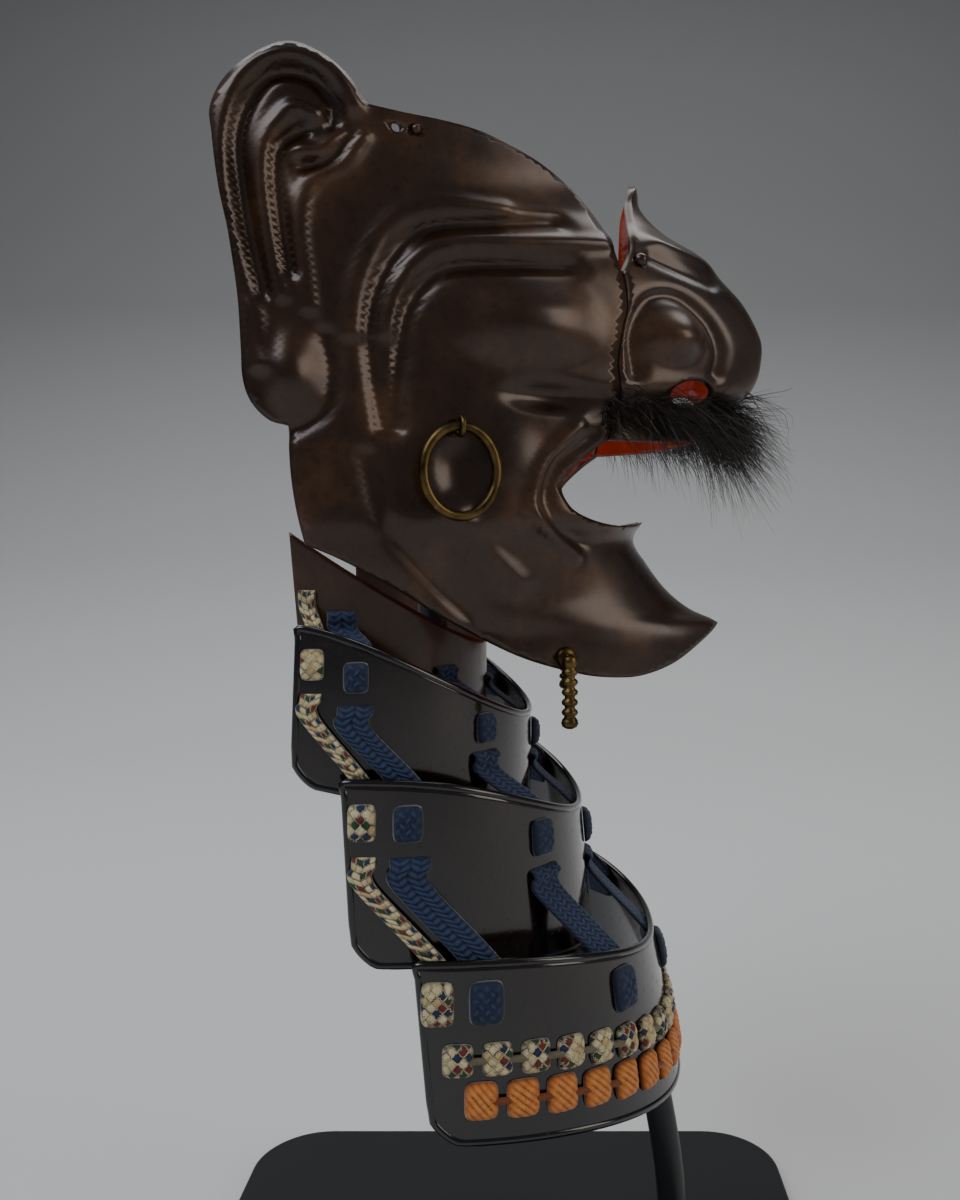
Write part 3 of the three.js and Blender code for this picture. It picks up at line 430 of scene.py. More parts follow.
def skin_at(x, z, side):
    """Point and outward normal of the face at a side-view place."""
    turn = side * turn_at(np.array([x]), np.array([z]))
    at = lambda t, h: head_points(t, h)[0]
    here = np.array([float(z)])
    point = at(turn, here)
    along = at(turn + 0.02, here) - at(turn - 0.02, here)
    rise = (at(side * turn_at(np.array([x]), here + 1), here + 1)
            - at(side * turn_at(np.array([x]), here - 1), here - 1))
    normal = np.cross(along, rise)
    return point, normal / np.linalg.norm(normal)


# ---- the raised iron plates ----
SCALE = 62.0  # millimetres of sheet for each radian of turn, so that mesh cells are nearly square


def flat_outline(side_runs, spacing=0.8):
    """A side-view outline as an even line in the unrolled sheet, (turn x SCALE, height), for the left side."""
    line = np.vstack([smooth_path(run, 10 if len(run) > 2 else 1)[:-1] for run in side_runs] + [side_runs[-1][-1:]])
    return even_path(np.stack([turn_at(line[:, 0], line[:, 1]) * SCALE, line[:, 1]], axis=1), spacing)


def mirror_line(line):
    return line[::-1] * np.array([-1.0, 1.0])


def inside(points, loop):
    result = np.zeros(len(points), dtype=bool)
    x, y = points[:, 0], points[:, 1]
    ax, ay = loop[:, 0], loop[:, 1]
    bx, by = np.roll(ax, -1), np.roll(ay, -1)
    for x0, y0, x1, y1 in zip(ax, ay, bx, by):
        if y0 == y1:
            continue
        crosses = ((y0 > y) != (y1 > y)) & (x < (x1 - x0) * (y - y0) / (y1 - y0) + x0)
        result ^= crosses
    return result


def near_line(points, loop, distance):
    """True where a point is closer to the loop's points than the distance."""
    close = np.zeros(len(points), dtype=bool)
    for start in range(0, len(loop), 200):
        part = loop[start:start + 200]
        gap = ((points[:, None, :] - part[None]) ** 2).sum(-1).min(1)
        close |= gap < distance ** 2
    return close


def round_hole(x, z, side, radius, count=20):
    angle = np.linspace(0, 2 * math.pi, count, endpoint=False)
    turn = side * turn_at(x + np.cos(angle) * radius, z + np.sin(angle) * radius)
    return np.stack([turn * SCALE, z + np.sin(angle) * radius], axis=1)


def plate(name, outer, holes, spacing):
    """Raised sheet inside a closed unrolled outline: fine skin, lacquered back and a rounded edge between."""
    low, high = outer.min(0), outer.max(0)
    grid = []
    for row, z in enumerate(np.arange(low[1] + spacing, high[1], spacing * 0.87)):
        start = low[0] + (row % 2) * spacing / 2
        line = np.arange(start, high[0], spacing)
        grid.append(np.stack([line, np.full_like(line, z)], axis=1))
    grid = np.vstack(grid)
    keep = inside(grid, outer) & ~near_line(grid, outer, spacing * 0.55)
    for hole in holes:
        keep &= ~inside(grid, hole) & ~near_line(grid, hole, spacing * 0.5)
    grid = grid[keep]
    loops = [outer, *holes]
    points = np.vstack([*loops, grid])
    edges = []
    offset = 0
    for loop in loops:
        n = len(loop)
        edges += [(offset + i, offset + (i + 1) % n) for i in range(n)]
        offset += n
    verts, _, tris, *_ = delaunay_2d_cdt([Vector(p) for p in points], edges, [], 0, 1e-5)
    verts = np.array([tuple(v) for v in verts])
    tris = np.array(tris)
    middle = verts[tris].mean(1)
    good = inside(middle, outer)
    for hole in holes:
        good &= ~inside(middle, hole)
    tris = tris[good]
    area = np.cross(verts[tris[:, 1]] - verts[tris[:, 0]], verts[tris[:, 2]] - verts[tris[:, 0]])
    tris[area < 0] = tris[area < 0][:, ::-1]
    turn, z = verts[:, 0] / SCALE, verts[:, 1]
    skin = head_points(turn, z)
    back = head_points(turn, z, SHEET)
    # The boundary edges are the ones used once; each gets a rounded strip from skin to back.
    pairs = np.vstack([tris[:, [0, 1]], tris[:, [1, 2]], tris[:, [2, 0]]])
    keys = {}
    for a, b in pairs:
        keys.setdefault((min(a, b), max(a, b)), []).append((a, b))
    rim = [own[0] for own in keys.values() if len(own) == 1]
    n = len(verts)
    push = {}
    for a, b in rim:
        along = skin[b] - skin[a]
        wall = back[a] - skin[a]
        away = np.cross(along, wall)
        away /= max(np.linalg.norm(away), 1e-9)
        for v in (a, b):
            push.setdefault(v, []).append(away)
    middle_index = {v: 2 * n + i for i, v in enumerate(push)}
    bulge = [(skin[v] + back[v]) / 2 - np.mean(own, axis=0) * -0.32 for v, own in push.items()]
    faces = [*tris.tolist(), *(tris[:, ::-1] + n).tolist()]
    slots = [0] * len(tris) + [1] * len(tris)
    for a, b in rim:
        faces += [(b, a, middle_index[a], middle_index[b]), (middle_index[b], middle_index[a], a + n, b + n)]
        slots += [2, 2]
    piece = make(name, np.vstack([skin, back, bulge]), faces, IRON, materials=[IRON, RED, IRON], face_slots=slots)
    return piece


def face_plate():
    down = flat_outline([TOP_EDGE, EAR, REAR_EDGE, JAW_EDGE])
    down[-1, 0] = 0
    up = flat_outline([MOUTH_EDGE, SEAM])
    up[0, 0] = 0
    left = np.vstack([down[:-1]])
    right = mirror_line(down)[1:]
    outer = np.vstack([left, [[0, JAW_EDGE[-1][1]]], right[:-1], mirror_line(up)[:-1], [[0, MOUTH_EDGE[0][1]]], up[1:-1]])
    holes = []
    for _, side in SIDES:
        holes += [round_hole(CORD_HOLE[0], CORD_HOLE[1], side, CORD_HOLE[2]),
                  round_hole(TEMPLE_RIVET[0], TEMPLE_RIVET[1], side, 1.1),
                  round_hole(RING["x"], RING["top"], side, 1.4), round_hole(PEG[0], PEG[1], side, 1.3)]
    piece = plate("raised_face", outer, holes, FACE_SPACING)
    settle(piece, ["face_plate"])


def nose_plate():
    seam = [(x + SEAM_GAP, z) for x, z in SEAM[:-2]]
    side = flat_outline([[(60, 275), (47, 273)], [(47, 273), seam[0]], seam, [seam[-1], NOSE_TOP[0]], NOSE_TOP], 0.7)
    low_z = side[0, 1]
    side = np.vstack([[[0, low_z]], side])
    tip = np.array([[0, 355.2]])
    outer = np.vstack([side, tip, mirror_line(side)[:-1]])
    holes = []
    for _, sign in SIDES:
        angle = np.linspace(0, 2 * math.pi, 44, endpoint=False)
        cx, cz, reach_x, reach_z, tilt = NOSTRIL
        px = np.cos(angle) * reach_x
        pz = np.sin(angle) * reach_z
        x = cx + px * math.cos(tilt) - pz * math.sin(tilt)
        z = cz + px * math.sin(tilt) + pz * math.cos(tilt)
        holes.append(np.stack([sign * turn_at(x, z) * SCALE, z], axis=1))
        holes.append(round_hole(NOSE_STUD[0], NOSE_STUD[1], sign, 1.5))
    piece = plate("raised_nose", outer, holes, 0.9)
    settle(piece, ["nose_plate"])


# ---- turned and bent metal ----
def frame_on(direction):
    direction = np.asarray(direction, dtype=float)
    direction = direction / np.linalg.norm(direction)
    other = np.array([0.0, 0, 1]) if abs(direction[2]) < 0.9 else np.array([1.0, 0, 0])
    across = np.cross(other, direction)
    across /= np.linalg.norm(across)
    return across, np.cross(direction, across), direction


def turned(name, profile, at, direction, material, sides=28):
    """A turned piece: profile of (radius, distance along the direction), closed at both ends."""
    across, up, along = frame_on(direction)
    angle = np.linspace(0, 2 * math.pi, sides, endpoint=False)
    points, faces = [], []
    for r, d in profile:
        ring = np.outer(np.cos(angle) * max(r, 1e-3), across) + np.outer(np.sin(angle) * max(r, 1e-3), up)
        points.append(np.asarray(at) + along * d + ring)
    for i in range(len(profile) - 1):
        for k in range(sides):
            m = (k + 1) % sides
            faces.append((i * sides + k, i * sides + m, (i + 1) * sides + m, (i + 1) * sides + k))
    last = (len(profile) - 1) * sides
    faces.append(tuple(range(sides))[::-1])
    faces.append(tuple(range(last, last + sides)))
    return make(name, np.vstack(points), faces, material)


def join(name, pieces):
    """Joins pieces of one body into one mesh."""
    work = bmesh.new()
    for piece in pieces:
        work.from_mesh(piece.data)
    mesh = bpy.data.meshes.new(name)
    work.to_mesh(mesh)
    work.free()
    for material in pieces[0].data.materials:
        mesh.materials.append(material)
    for piece in pieces:
        bpy.data.objects.remove(piece)
    joined = bpy.data.objects.new(name, mesh)
    bpy.context.scene.collection.objects.link(joined)
    return outward(joined)


def bar_tree():
    """Geometry Nodes: a round bar along a curve, scaled along it by the curve's own radius."""
    tree = bpy.data.node_groups.new("round bar along a line", "GeometryNodeTree")
    face = tree.interface
    face.new_socket("Line", in_out="INPUT", socket_type="NodeSocketGeometry")
    face.new_socket("Radius", in_out="INPUT", socket_type="NodeSocketFloat")
    face.new_socket("Sides", in_out="INPUT", socket_type="NodeSocketInt")
    face.new_socket("Finish", in_out="INPUT", socket_type="NodeSocketMaterial")
    face.new_socket("Bar", in_out="OUTPUT", socket_type="NodeSocketGeometry")
    source = add(tree, "NodeGroupInput")
    section = add(tree, "GeometryNodeCurvePrimitiveCircle", links={"Resolution": source.outputs["Sides"],
                                                                  "Radius": source.outputs["Radius"]})
    thickness = add(tree, "GeometryNodeInputRadius")
    swept = add(tree, "GeometryNodeCurveToMesh", {"Fill Caps": True},
                {"Curve": source.outputs["Line"], "Profile Curve": section.outputs["Curve"],
                 "Scale": thickness.outputs["Radius"]})
    whole = add(tree, "GeometryNodeRealizeInstances", links={"Geometry": swept.outputs["Mesh"]})
    smooth = add(tree, "GeometryNodeSetShadeSmooth", links={"Geometry": whole.outputs["Geometry"]})
    painted = add(tree, "GeometryNodeSetMaterial", links={"Geometry": smooth.outputs["Geometry"],
                                                          "Material": source.outputs["Finish"]})
    add(tree, "NodeGroupOutput", links={"Bar": painted.outputs["Geometry"]})
    return tree


BAR = bar_tree()


def bars(name, lines, radius, sides, material, closed=False, thin=None):
    """Bars along lines of points through the bar tree; thin gives the share of the radius at each point."""
    curve = bpy.data.curves.new(name + "_line", "CURVE")
    curve.dimensions = "3D"
    for number, line in enumerate(lines):
        spline = curve.splines.new("POLY")
        spline.points.add(len(line) - 1)
        flat = np.hstack([np.asarray(line) * MM, np.ones((len(line), 1))])
        spline.points.foreach_set("co", flat.ravel())
        share = np.ones(len(line)) if thin is None else thin[number]
        spline.points.foreach_set("radius", np.asarray(share, dtype=float))
        spline.use_cyclic_u = closed
    source = bpy.data.objects.new(name + "_line", curve)
    bpy.context.scene.collection.objects.link(source)
    modifier = source.modifiers.new("bar", "NODES")
    modifier.node_group = BAR
    sockets = {item.name: item.identifier for item in BAR.interface.items_tree if item.in_out == "INPUT"}
    modifier[sockets["Radius"]] = radius * MM
    modifier[sockets["Sides"]] = sides
    modifier[sockets["Finish"]] = material
    bpy.context.view_layer.update()
    depsgraph = bpy.context.evaluated_depsgraph_get()
    mesh = bpy.data.meshes.new_from_object(source.evaluated_get(depsgraph), depsgraph=depsgraph)
    mesh.name = name
    piece = bpy.data.objects.new(name, mesh)
    bpy.context.scene.collection.objects.link(piece)
    bpy.data.objects.remove(source)
    return piece


# ---- lames ----
def band_points(band, turn, height, offset=0.0):
    """Points on a lame at turns and shares of its height, and their level normals."""
    turn, height = np.broadcast_arrays(np.asarray(turn, float), np.asarray(height, float))
    mix = lambda low, top: band[low] + (band[top] - band[low]) * height
    front, rear, half = mix("front_low", "front_top"), mix("rear_low", "rear_top"), mix("half_low", "half_top")
    c = np.clip(np.cos(turn), 0, 1)
    s = np.abs(np.sin(turn))
    share = c ** (2 / LAME_POWER)
    low = band["z_rear_low"] + (band["z_front_low"] - band["z_rear_low"]) * share ** band["bend"]
    high = band["z_rear_top"] + (band["z_front_top"] - band["z_rear_top"]) * share ** band["bend"]
    grade = 2 * (LAME_POWER - 1) / LAME_POWER
    normal = np.stack([c ** grade / (front - rear), np.sign(turn) * s ** grade / half, np.zeros_like(s)], axis=-1)
    normal /= np.linalg.norm(normal, axis=-1, keepdims=True)
    point = np.stack([rear + (front - rear) * share, np.sign(turn) * half * s ** (2 / LAME_POWER),
                      low + (high - low) * height], axis=-1)
    return point + normal * np.asarray(offset)[..., None], normal


def band_turn(place, side):
    return side * math.acos(min(place ** (LAME_POWER / 2), 1))


def band_frame(band, turn, height, offset=0.0):
    point, normal = band_points(band, turn, height, offset)
    up = band_points(band, turn, height + 0.05)[0] - band_points(band, turn, height - 0.05)[0]
    across = np.cross([0, 0, 1], normal)
    across /= np.linalg.norm(across)
    up -= across * (up @ across)
    up /= np.linalg.norm(up)
    return point, np.cross(across, up), across, up


def lame_turns(count=150):
    """Turns along a lame, closer together at the rear corners."""
    t = np.linspace(-1, 1, count)
    return (t * 0.55 + np.sin(t * math.pi / 2) * 0.45) * math.pi / 2


def corner_lift(turn, corner=0.09, lift=0.22):
    left = np.clip((1 - np.abs(turn) / (math.pi / 2)) / corner, 0, 1)
    return lift * (1 - np.sqrt(np.clip(1 - (1 - left) ** 2, 0, 1)))


def lame(name, body_material, rim_material):
    """A lame: a curved wall; below the neck band, its edge is folded back round a wire on every side."""
    band = BANDS[name]
    turns = lame_turns()
    levels = np.linspace(0, 1, 22)
    lift = corner_lift(turns)
    height = np.maximum(levels[:, None] * 0.985, 0) * (1 - lift)[None] + lift[None]
    grid_turn = np.broadcast_to(turns, height.shape)
    skin = band_points(band, grid_turn, height)[0]
    back = band_points(band, grid_turn, height, np.full(height.shape, -LAME_SHEET))[0]
    rows, wide = height.shape
    faces, slots = [], []
    index = lambda side, i, k: (side * rows + i) * wide + k
    for i in range(rows - 1):
        for k in range(wide - 1):
            faces.append((index(0, i, k), index(0, i, k + 1), index(0, i + 1, k + 1), index(0, i + 1, k)))
            faces.append((index(1, i, k), index(1, i + 1, k), index(1, i + 1, k + 1), index(1, i, k + 1)))
    for i in range(rows - 1):
        faces.append((index(0, i, 0), index(0, i + 1, 0), index(1, i + 1, 0), index(1, i, 0)))
        faces.append((index(0, i, wide - 1), index(1, i, wide - 1), index(1, i + 1, wide - 1), index(0, i + 1, wide - 1)))
    for k in range(wide - 1):
        faces.append((index(0, 0, k), index(1, 0, k), index(1, 0, k + 1), index(0, 0, k + 1)))
        faces.append((index(0, rows - 1, k), index(0, rows - 1, k + 1), index(1, rows - 1, k + 1), index(1, rows - 1, k)))
    wall = outward(make(name + "_wall", np.vstack([skin.reshape(-1, 3), back.reshape(-1, 3)]), faces, body_material))
    settle(wall, [name])
    if name == "neck_band":
        return
    half_way = -LAME_SHEET / 2
    edge = lambda t, h: band_points(band, t, h, np.full(np.shape(t), half_way))[0]
    top = edge(turns, np.full_like(turns, 1 - 0.45 * RIM / 45))
    ends = []
    for side in (-1, 1):
        own = side * math.pi / 2 * 0.995
        rise = np.linspace(0.25, 0.97, 14)
        ends.append(edge(np.full_like(rise, own), rise))
    foot_turns = turns[1:-1]
    foot = edge(foot_turns, np.maximum(corner_lift(foot_turns), 0.02))
    loop = even_path(np.vstack([foot, ends[1][1:], top[::-1], ends[0][::-1][1:]]), 1.6)
    rim = bars(name + "_rolled_edge", [loop], RIM / 2 * 0.92, 12, rim_material, closed=True)
    settle(rim, [])


# ---- braids ----
PLAIT = 1.9  # millimetres of braid for one pair of threads crossing
STRAND = 4.4  # width of one flat braid; wider strips are several laid side by side


def plait(u, v, width):
    """Herringbone relief of a flat braid: u along, v across from its middle, both in millimetres."""
    count = max(round(width / STRAND), 1)
    lane = (v / width + 0.5) * count
    inner = np.abs((lane % 1) - 0.5) * 2
    phase = u / PLAIT + inner * 0.85
    float_height = np.abs(np.cos(phase * math.pi))
    # The crown shapes the relief and also colours the braid: its low values in the grooves between lanes and floats are
    # painted shade.
    valley = np.clip(1 - (1 - inner) * 5, 0, 1) * 0.5 + np.clip(1 - inner * 7, 0, 1) * 0.35
    crown = np.clip(float_height ** 0.6 - valley, 0, 1)
    dye = ((np.floor(phase + 0.5) * 0.377 + np.floor(lane) * 0.21 + (inner > 0.5) * 0.53 + (v > 0) * 0.31) % 1.0)
    return crown, dye


def strip(name, route, width, colour, lift=0.55):
    """A flat braid through frames of (centre, normal, across), plaited on its face, closed all round."""
    centres = smooth_path([r[0] for r in route], 12)
    normals = smooth_path([r[1] for r in route], 12)
    acrosses = smooth_path([r[2] for r in route], 12)
    stack = even_path(np.hstack([centres, normals, acrosses]), 0.33)
    centres, normals, acrosses = stack[:, :3], stack[:, 3:6], stack[:, 6:]
    along = np.concatenate([[0], np.cumsum(np.linalg.norm(np.diff(centres, axis=0), axis=1))])
    lanes = np.linspace(-1, 1, max(int(width / 0.3), 10))
    front, crowns, dyes = [], [], []
    for v in lanes:
        crown, dye = plait(along, np.full_like(along, v * width / 2), width)
        edge = math.sqrt(max(1 - abs(v) ** 6, 0))
        out = BRAID / 2 * edge + (crown - 0.5) * lift * edge
        front.append(centres + acrosses * v * width / 2 + normals * out[:, None])
        # Painted shade: the crown that colours the braid is lowered towards its rounded edges.
        crowns.append(crown * (0.4 + 0.6 * edge))
        dyes.append(dye)
    rear = [centres + acrosses * v * width / 2 * 0.96 - normals * BRAID / 2 * math.sqrt(max(1 - abs(v) ** 6, 0)) * 0.8
            for v in lanes[::-1]]
    return closed_strip(name, front + rear, crowns + crowns[::-1], dyes + dyes[::-1], colour)


def closed_strip(name, lines, crowns, dyes, colour):
    grid = np.array(lines)
    around, long_way = grid.shape[:2]
    faces = []
    for i in range(around):
        j = (i + 1) % around
        for k in range(long_way - 1):
            faces.append((i * long_way + k, j * long_way + k, j * long_way + k + 1, i * long_way + k + 1))
    faces.append([i * long_way for i in range(around)][::-1])
    faces.append([i * long_way + long_way - 1 for i in range(around)])
    piece = make(name, grid.reshape(-1, 3), faces, SILK[colour],
                 values={"crown": np.array(crowns).ravel(), "dye": np.array(dyes).ravel()})
    return outward(piece)


def knot(name, frame_here, size, thick, colour, quarter):
    """A braid knot: a low button of crossed floats standing on the lame."""
    centre, normal, across, up = frame_here
    rings, spokes = 13, 44
    points, crowns, dyes = [centre + normal * thick], [1.0], [float(RANDOM.random())]
    turn_off = RANDOM.uniform(-0.12, 0.12)
    dye_off = RANDOM.random()
    for ring in range(1, rings + 1):
        r = ring / rings
        for k in range(spokes):
            a = 2 * math.pi * k / spokes
            squarish = 1 / (abs(math.cos(a)) ** 5 + abs(math.sin(a)) ** 5) ** 0.2
            px, py = math.cos(a) * r * squarish * size[0] / 2 * 0.93, math.sin(a) * r * squarish * size[1] / 2 * 0.93
            dome = math.sqrt(max(1 - r ** 3.2, 0))
            if quarter:
                lean = 0.78 + turn_off
                qx, qy = px * math.cos(lean) + py * math.sin(lean), -px * math.sin(lean) + py * math.cos(lean)
                crown = abs(math.cos(qx / 1.5 * math.pi)) ** 0.5 * (0.75 + 0.25 * abs(math.cos(qy / 3.4 * math.pi)))
                dye = (math.floor(qx / 1.5 + 0.5) * 0.37 + dye_off) % 1
            else:
                qx, qy = (px + py) / 2.9 + turn_off, (px - py) / 2.9
                over = (math.floor(qx) + math.floor(qy)) % 2
                fine = qy if over else qx
                crown = abs(math.cos(fine * 2 * math.pi)) ** 0.4
                crown *= 0.35 + 0.65 * min(1, 3.2 * min(qx % 1, 1 - qx % 1, qy % 1, 1 - qy % 1) + 0.25)
                dye = (math.floor(qx) * 0.41 + math.floor(qy) * 0.67 + over * 0.13 + dye_off) % 1
            out = GAP * 0.4 + thick * dome * (0.78 + 0.22 * crown) + 0.35 * crown * dome
            points.append(centre + across * px + up * py + normal * out)
            # Painted shade: the crown that colours the knot is lowered towards its rim.
            crowns.append(crown * (0.35 + 0.65 * dome))
            dyes.append(dye)
    faces = [(0, 1 + k, 1 + (k + 1) % spokes) for k in range(spokes)]
    for ring in range(rings - 1):
        a, b = 1 + ring * spokes, 1 + (ring + 1) * spokes
        faces += [(a + k, b + k, b + (k + 1) % spokes, a + (k + 1) % spokes) for k in range(spokes)]
    last = 1 + (rings - 1) * spokes
    faces.append([last + k for k in range(spokes)][::-1])
    return make(name, points, faces, SILK[colour], values={"crown": crowns, "dye": dyes})


def laces():
    """Each lame hangs from the one above by flat braids that end in a knot on its face."""
    inner = -(LAME_SHEET + (RIM - LAME_SHEET) / 2 + 2.4 * GAP + BRAID / 2)
    outer = GAP + BRAID / 2
    for upper_name, lower_name, growth in LACED:
        upper, lower = BANDS[upper_name], BANDS[lower_name]
        for name, place, colour, width, knot_size in COLUMNS:
            for side, sign in ((("front", -1),) if place == 1 else SIDES):
                turn = band_turn(place, sign)
                stations = [(upper, STRIP_START + 0.03, -0.6), (upper, STRIP_START - 0.01, outer),
                            (upper, STRIP_LEAVES, outer), (lower, 0.97, inner), (lower, 0.86, inner),
                            (lower, KNOT_HEIGHT - 0.04, inner)]
                route = []
                for band, height, out in stations:
                    centre, normal, across, _ = band_frame(band, turn, height, out)
                    route.append((centre, normal, across))
                node = f"{lower_name}_{name}_{side}"
                ribbon = strip(node + "_strip", route, width * growth, colour)
                settle(ribbon, [node])
                button = knot(node + "_knot", band_frame(lower, turn, KNOT_HEIGHT),
                              (knot_size[0] * growth, knot_size[1] * growth), BRAID * 1.45, colour, False)
                settle(button, [node])


def foot_rows():
    band = BANDS["lame_4"]
    for name, colour, height, start, pitch, size in ROWS:
        end = abs(band_turn(start, 1))
        fine = np.linspace(-end, end, 401)
        line = band_points(band, fine, np.full_like(fine, height), np.full_like(fine, GAP))[0]
        length = np.concatenate([[0], np.cumsum(np.linalg.norm(np.diff(line, axis=0), axis=1))])
        count = round(length[-1] / pitch)
        turns = np.interp(np.linspace(0, length[-1], count + 1), length, fine)
        share = math.ceil(len(turns) / 4)
        for part in range(4):
            own = turns[part * share:(part + 1) * share]
            pieces = [knot(f"{name}_{part}_{i}", band_frame(band, turn, height), size, BRAID * 1.15, colour,
                           colour == "orange") for i, turn in enumerate(own)]
            thread_line = even_path(band_points(band, np.linspace(own[0], own[-1], 24), np.full(24, height),
                                                np.full(24, 2 * GAP + 0.3))[0], 1.5)
            node = f"{name}_{part + 1}"
            for button in pieces:
                settle(button, [node])
            core = bars(node + "_core", [thread_line], 0.9, 8, SILK[colour])
            settle(core, [node])


# ---- moustache ----
def moustache():
    """Stiff hair set along the upper lip in a band, combed forward and out, longer and wilder at the middle."""
    lines, thin = [], []
    for _ in range(3400):
        turn = RANDOM.uniform(-1, 1) * 0.66
        forward = 1 - abs(turn) / 0.66
        z = RANDOM.normal(281, 2.6)
        root = head_points(np.array([turn]), np.array([z]))[0]
        side = math.sin(turn)
        lean = np.array([0.75 + 0.5 * forward, side * 1.25, -0.25])
        lean += RANDOM.normal(0, 1, 3) * np.array([0.42, 0.5, 0.5])
        lean[0] = max(lean[0], 0.15)
        lean /= np.linalg.norm(lean)
        length = (7 + 15 * forward ** 0.7) * RANDOM.uniform(0.45, 1.12)
        droop = RANDOM.uniform(0.15, 0.75)
        curl = RANDOM.normal(0, 0.16, 3)
        t = np.linspace(0, 1, 6)[:, None]
        line = root + lean * t * length + np.array([0, 0, -1]) * droop * t ** 2 * length + curl * t ** 2 * length
        line[:, 0] = np.minimum(line[:, 0], 88)
        lines.append(line)
        thin.append(np.linspace(1, 0.15, 6))
    hair = bars("moustache_hair", lines, 0.14, 3, HAIR, thin=thin)
    count = len(hair.data.vertices)
    per_hair = count // len(lines)
    dye = np.repeat(RANDOM.random(len(lines)), per_hair)
    layer = hair.data.attributes.new("dye", "FLOAT", "POINT")
    layer.data.foreach_set("value", np.resize(dye, count).astype(np.float32))
    settle(hair, ["moustache"])


# ---- small metal ----
def studs():
    for name, (x, z, head) in (("temple_rivet", TEMPLE_RIVET), ("nose_stud", NOSE_STUD)):
        for side, sign in SIDES:
            point, normal = skin_at(x, z, sign)
            shank = head * 0.6
            dome = [(head * math.cos(a), 0.45 + head * math.sin(a)) for a in np.linspace(0, math.pi / 2, 9)]
            profile = [(0, -SHEET - 1.6), (head, -SHEET - 1.6), (head, -SHEET - 0.6), (shank, -SHEET - 0.6),
                       (shank, 0.3), (head * 0.9, 0.3), *dome]
            node = f"{name}_{side}"
            settle(turned(node + "_turned", profile, point, normal, IRON), [node])


def ear_rings():
    for side, sign in SIDES:
        point, normal = skin_at(RING["x"], RING["top"], sign)
        yaw = -sign * RING["yaw"]
        out = np.array([-math.sin(yaw), math.cos(yaw), 0]) * sign
        along = np.array([math.cos(yaw), math.sin(yaw), 0])
        centre = point + out * RING["stand_off"]
        a = np.linspace(0, 2 * math.pi, 72, endpoint=False)[:, None]
        up = np.array([0, 0, 1.0])
        middle = centre - up * RING["radius"] * RING["tall"]
        hoop = middle + along * np.cos(a) * RING["radius"] + up * np.sin(a) * RING["radius"] * RING["tall"]
        ring = bars(f"ear_ring_{side}_hoop", [hoop], RING["wire"], 16, BRASS, closed=True)
        settle(ring, [f"ear_ring_{side}"], f"ring_{side}")
        a = np.linspace(0, 2 * math.pi, 32, endpoint=False)[:, None]
        eye_radius = RING["wire"] + GAP + 0.75
        eye = bars(f"ring_staple_{side}_eye", [centre + out * np.cos(a) * eye_radius + up * np.sin(a) * eye_radius],
                   0.7, 12, BRASS, closed=True)
        settle(eye, [f"ring_staple_{side}"])
        reach = RING["stand_off"] - RING["wire"] - GAP - 0.3
        start = -SHEET - 1.8
        shank = turned(f"ring_staple_{side}_shank", [(0, start), (2.4, start), (2.4, start + 0.9), (1.1, start + 0.9),
                                                     (1.1, reach), (0, reach)], point, normal, BRASS, 16)
        settle(shank, [f"ring_staple_{side}"])


def chin_pegs():
    for side, sign in SIDES:
        point, normal = skin_at(PEG[0], PEG[1], sign)
        hung = point + normal * 2.6 + np.array([0, 0, 0.5])
        rosette = [(0, 0.3), (3.0, 0.3), (3.0, 0.7), (2.4, 1.3), (1.4, 1.8), (0, 1.9)]
        profile = [(0, 0.6), (1.2, 0.4), (2.0, -0.3), (2.1, -2.2)]
        for down in (3.2, 6.0, 8.8, 11.6, 14.4):
            profile += [(1.45, -down), (2.1, -down - 0.5), (2.35, -down - 1.1), (2.1, -down - 1.7), (1.45, -down - 2.2)]
        profile += [(2.2, -17.6), (2.45, -18.6), (2.1, -19.4), (1.1, -PEG[2]), (0, -PEG[2])]
        peg = turned(f"chin_peg_{side}_turned", profile, hung, (0, 0, 1), BRASS)
        plate_piece = turned(f"chin_peg_{side}_rosette", rosette, point, normal, BRASS)
        foot = turned(f"chin_peg_{side}_foot", [(0, 0.6), (1.4, 0.6), (1.4, 3), (0, 3.2)], point, normal, BRASS, 16)
        for piece in (peg, plate_piece, foot):
            settle(piece, [f"chin_peg_{side}"])


# ---- stand ----
BASE = {"width": 200, "thick": 4.7, "corner": 26, "edge": 0.9}
POLE_RADIUS = 4.5
POLE = [(52, 4.6), (51, 40), (47, 68), (42, 88), (32, 106), (17, 124), (2, 142), (-7, 158), (-16, 178), (-22, 198),
        (-24, 230), (-24, 285)]


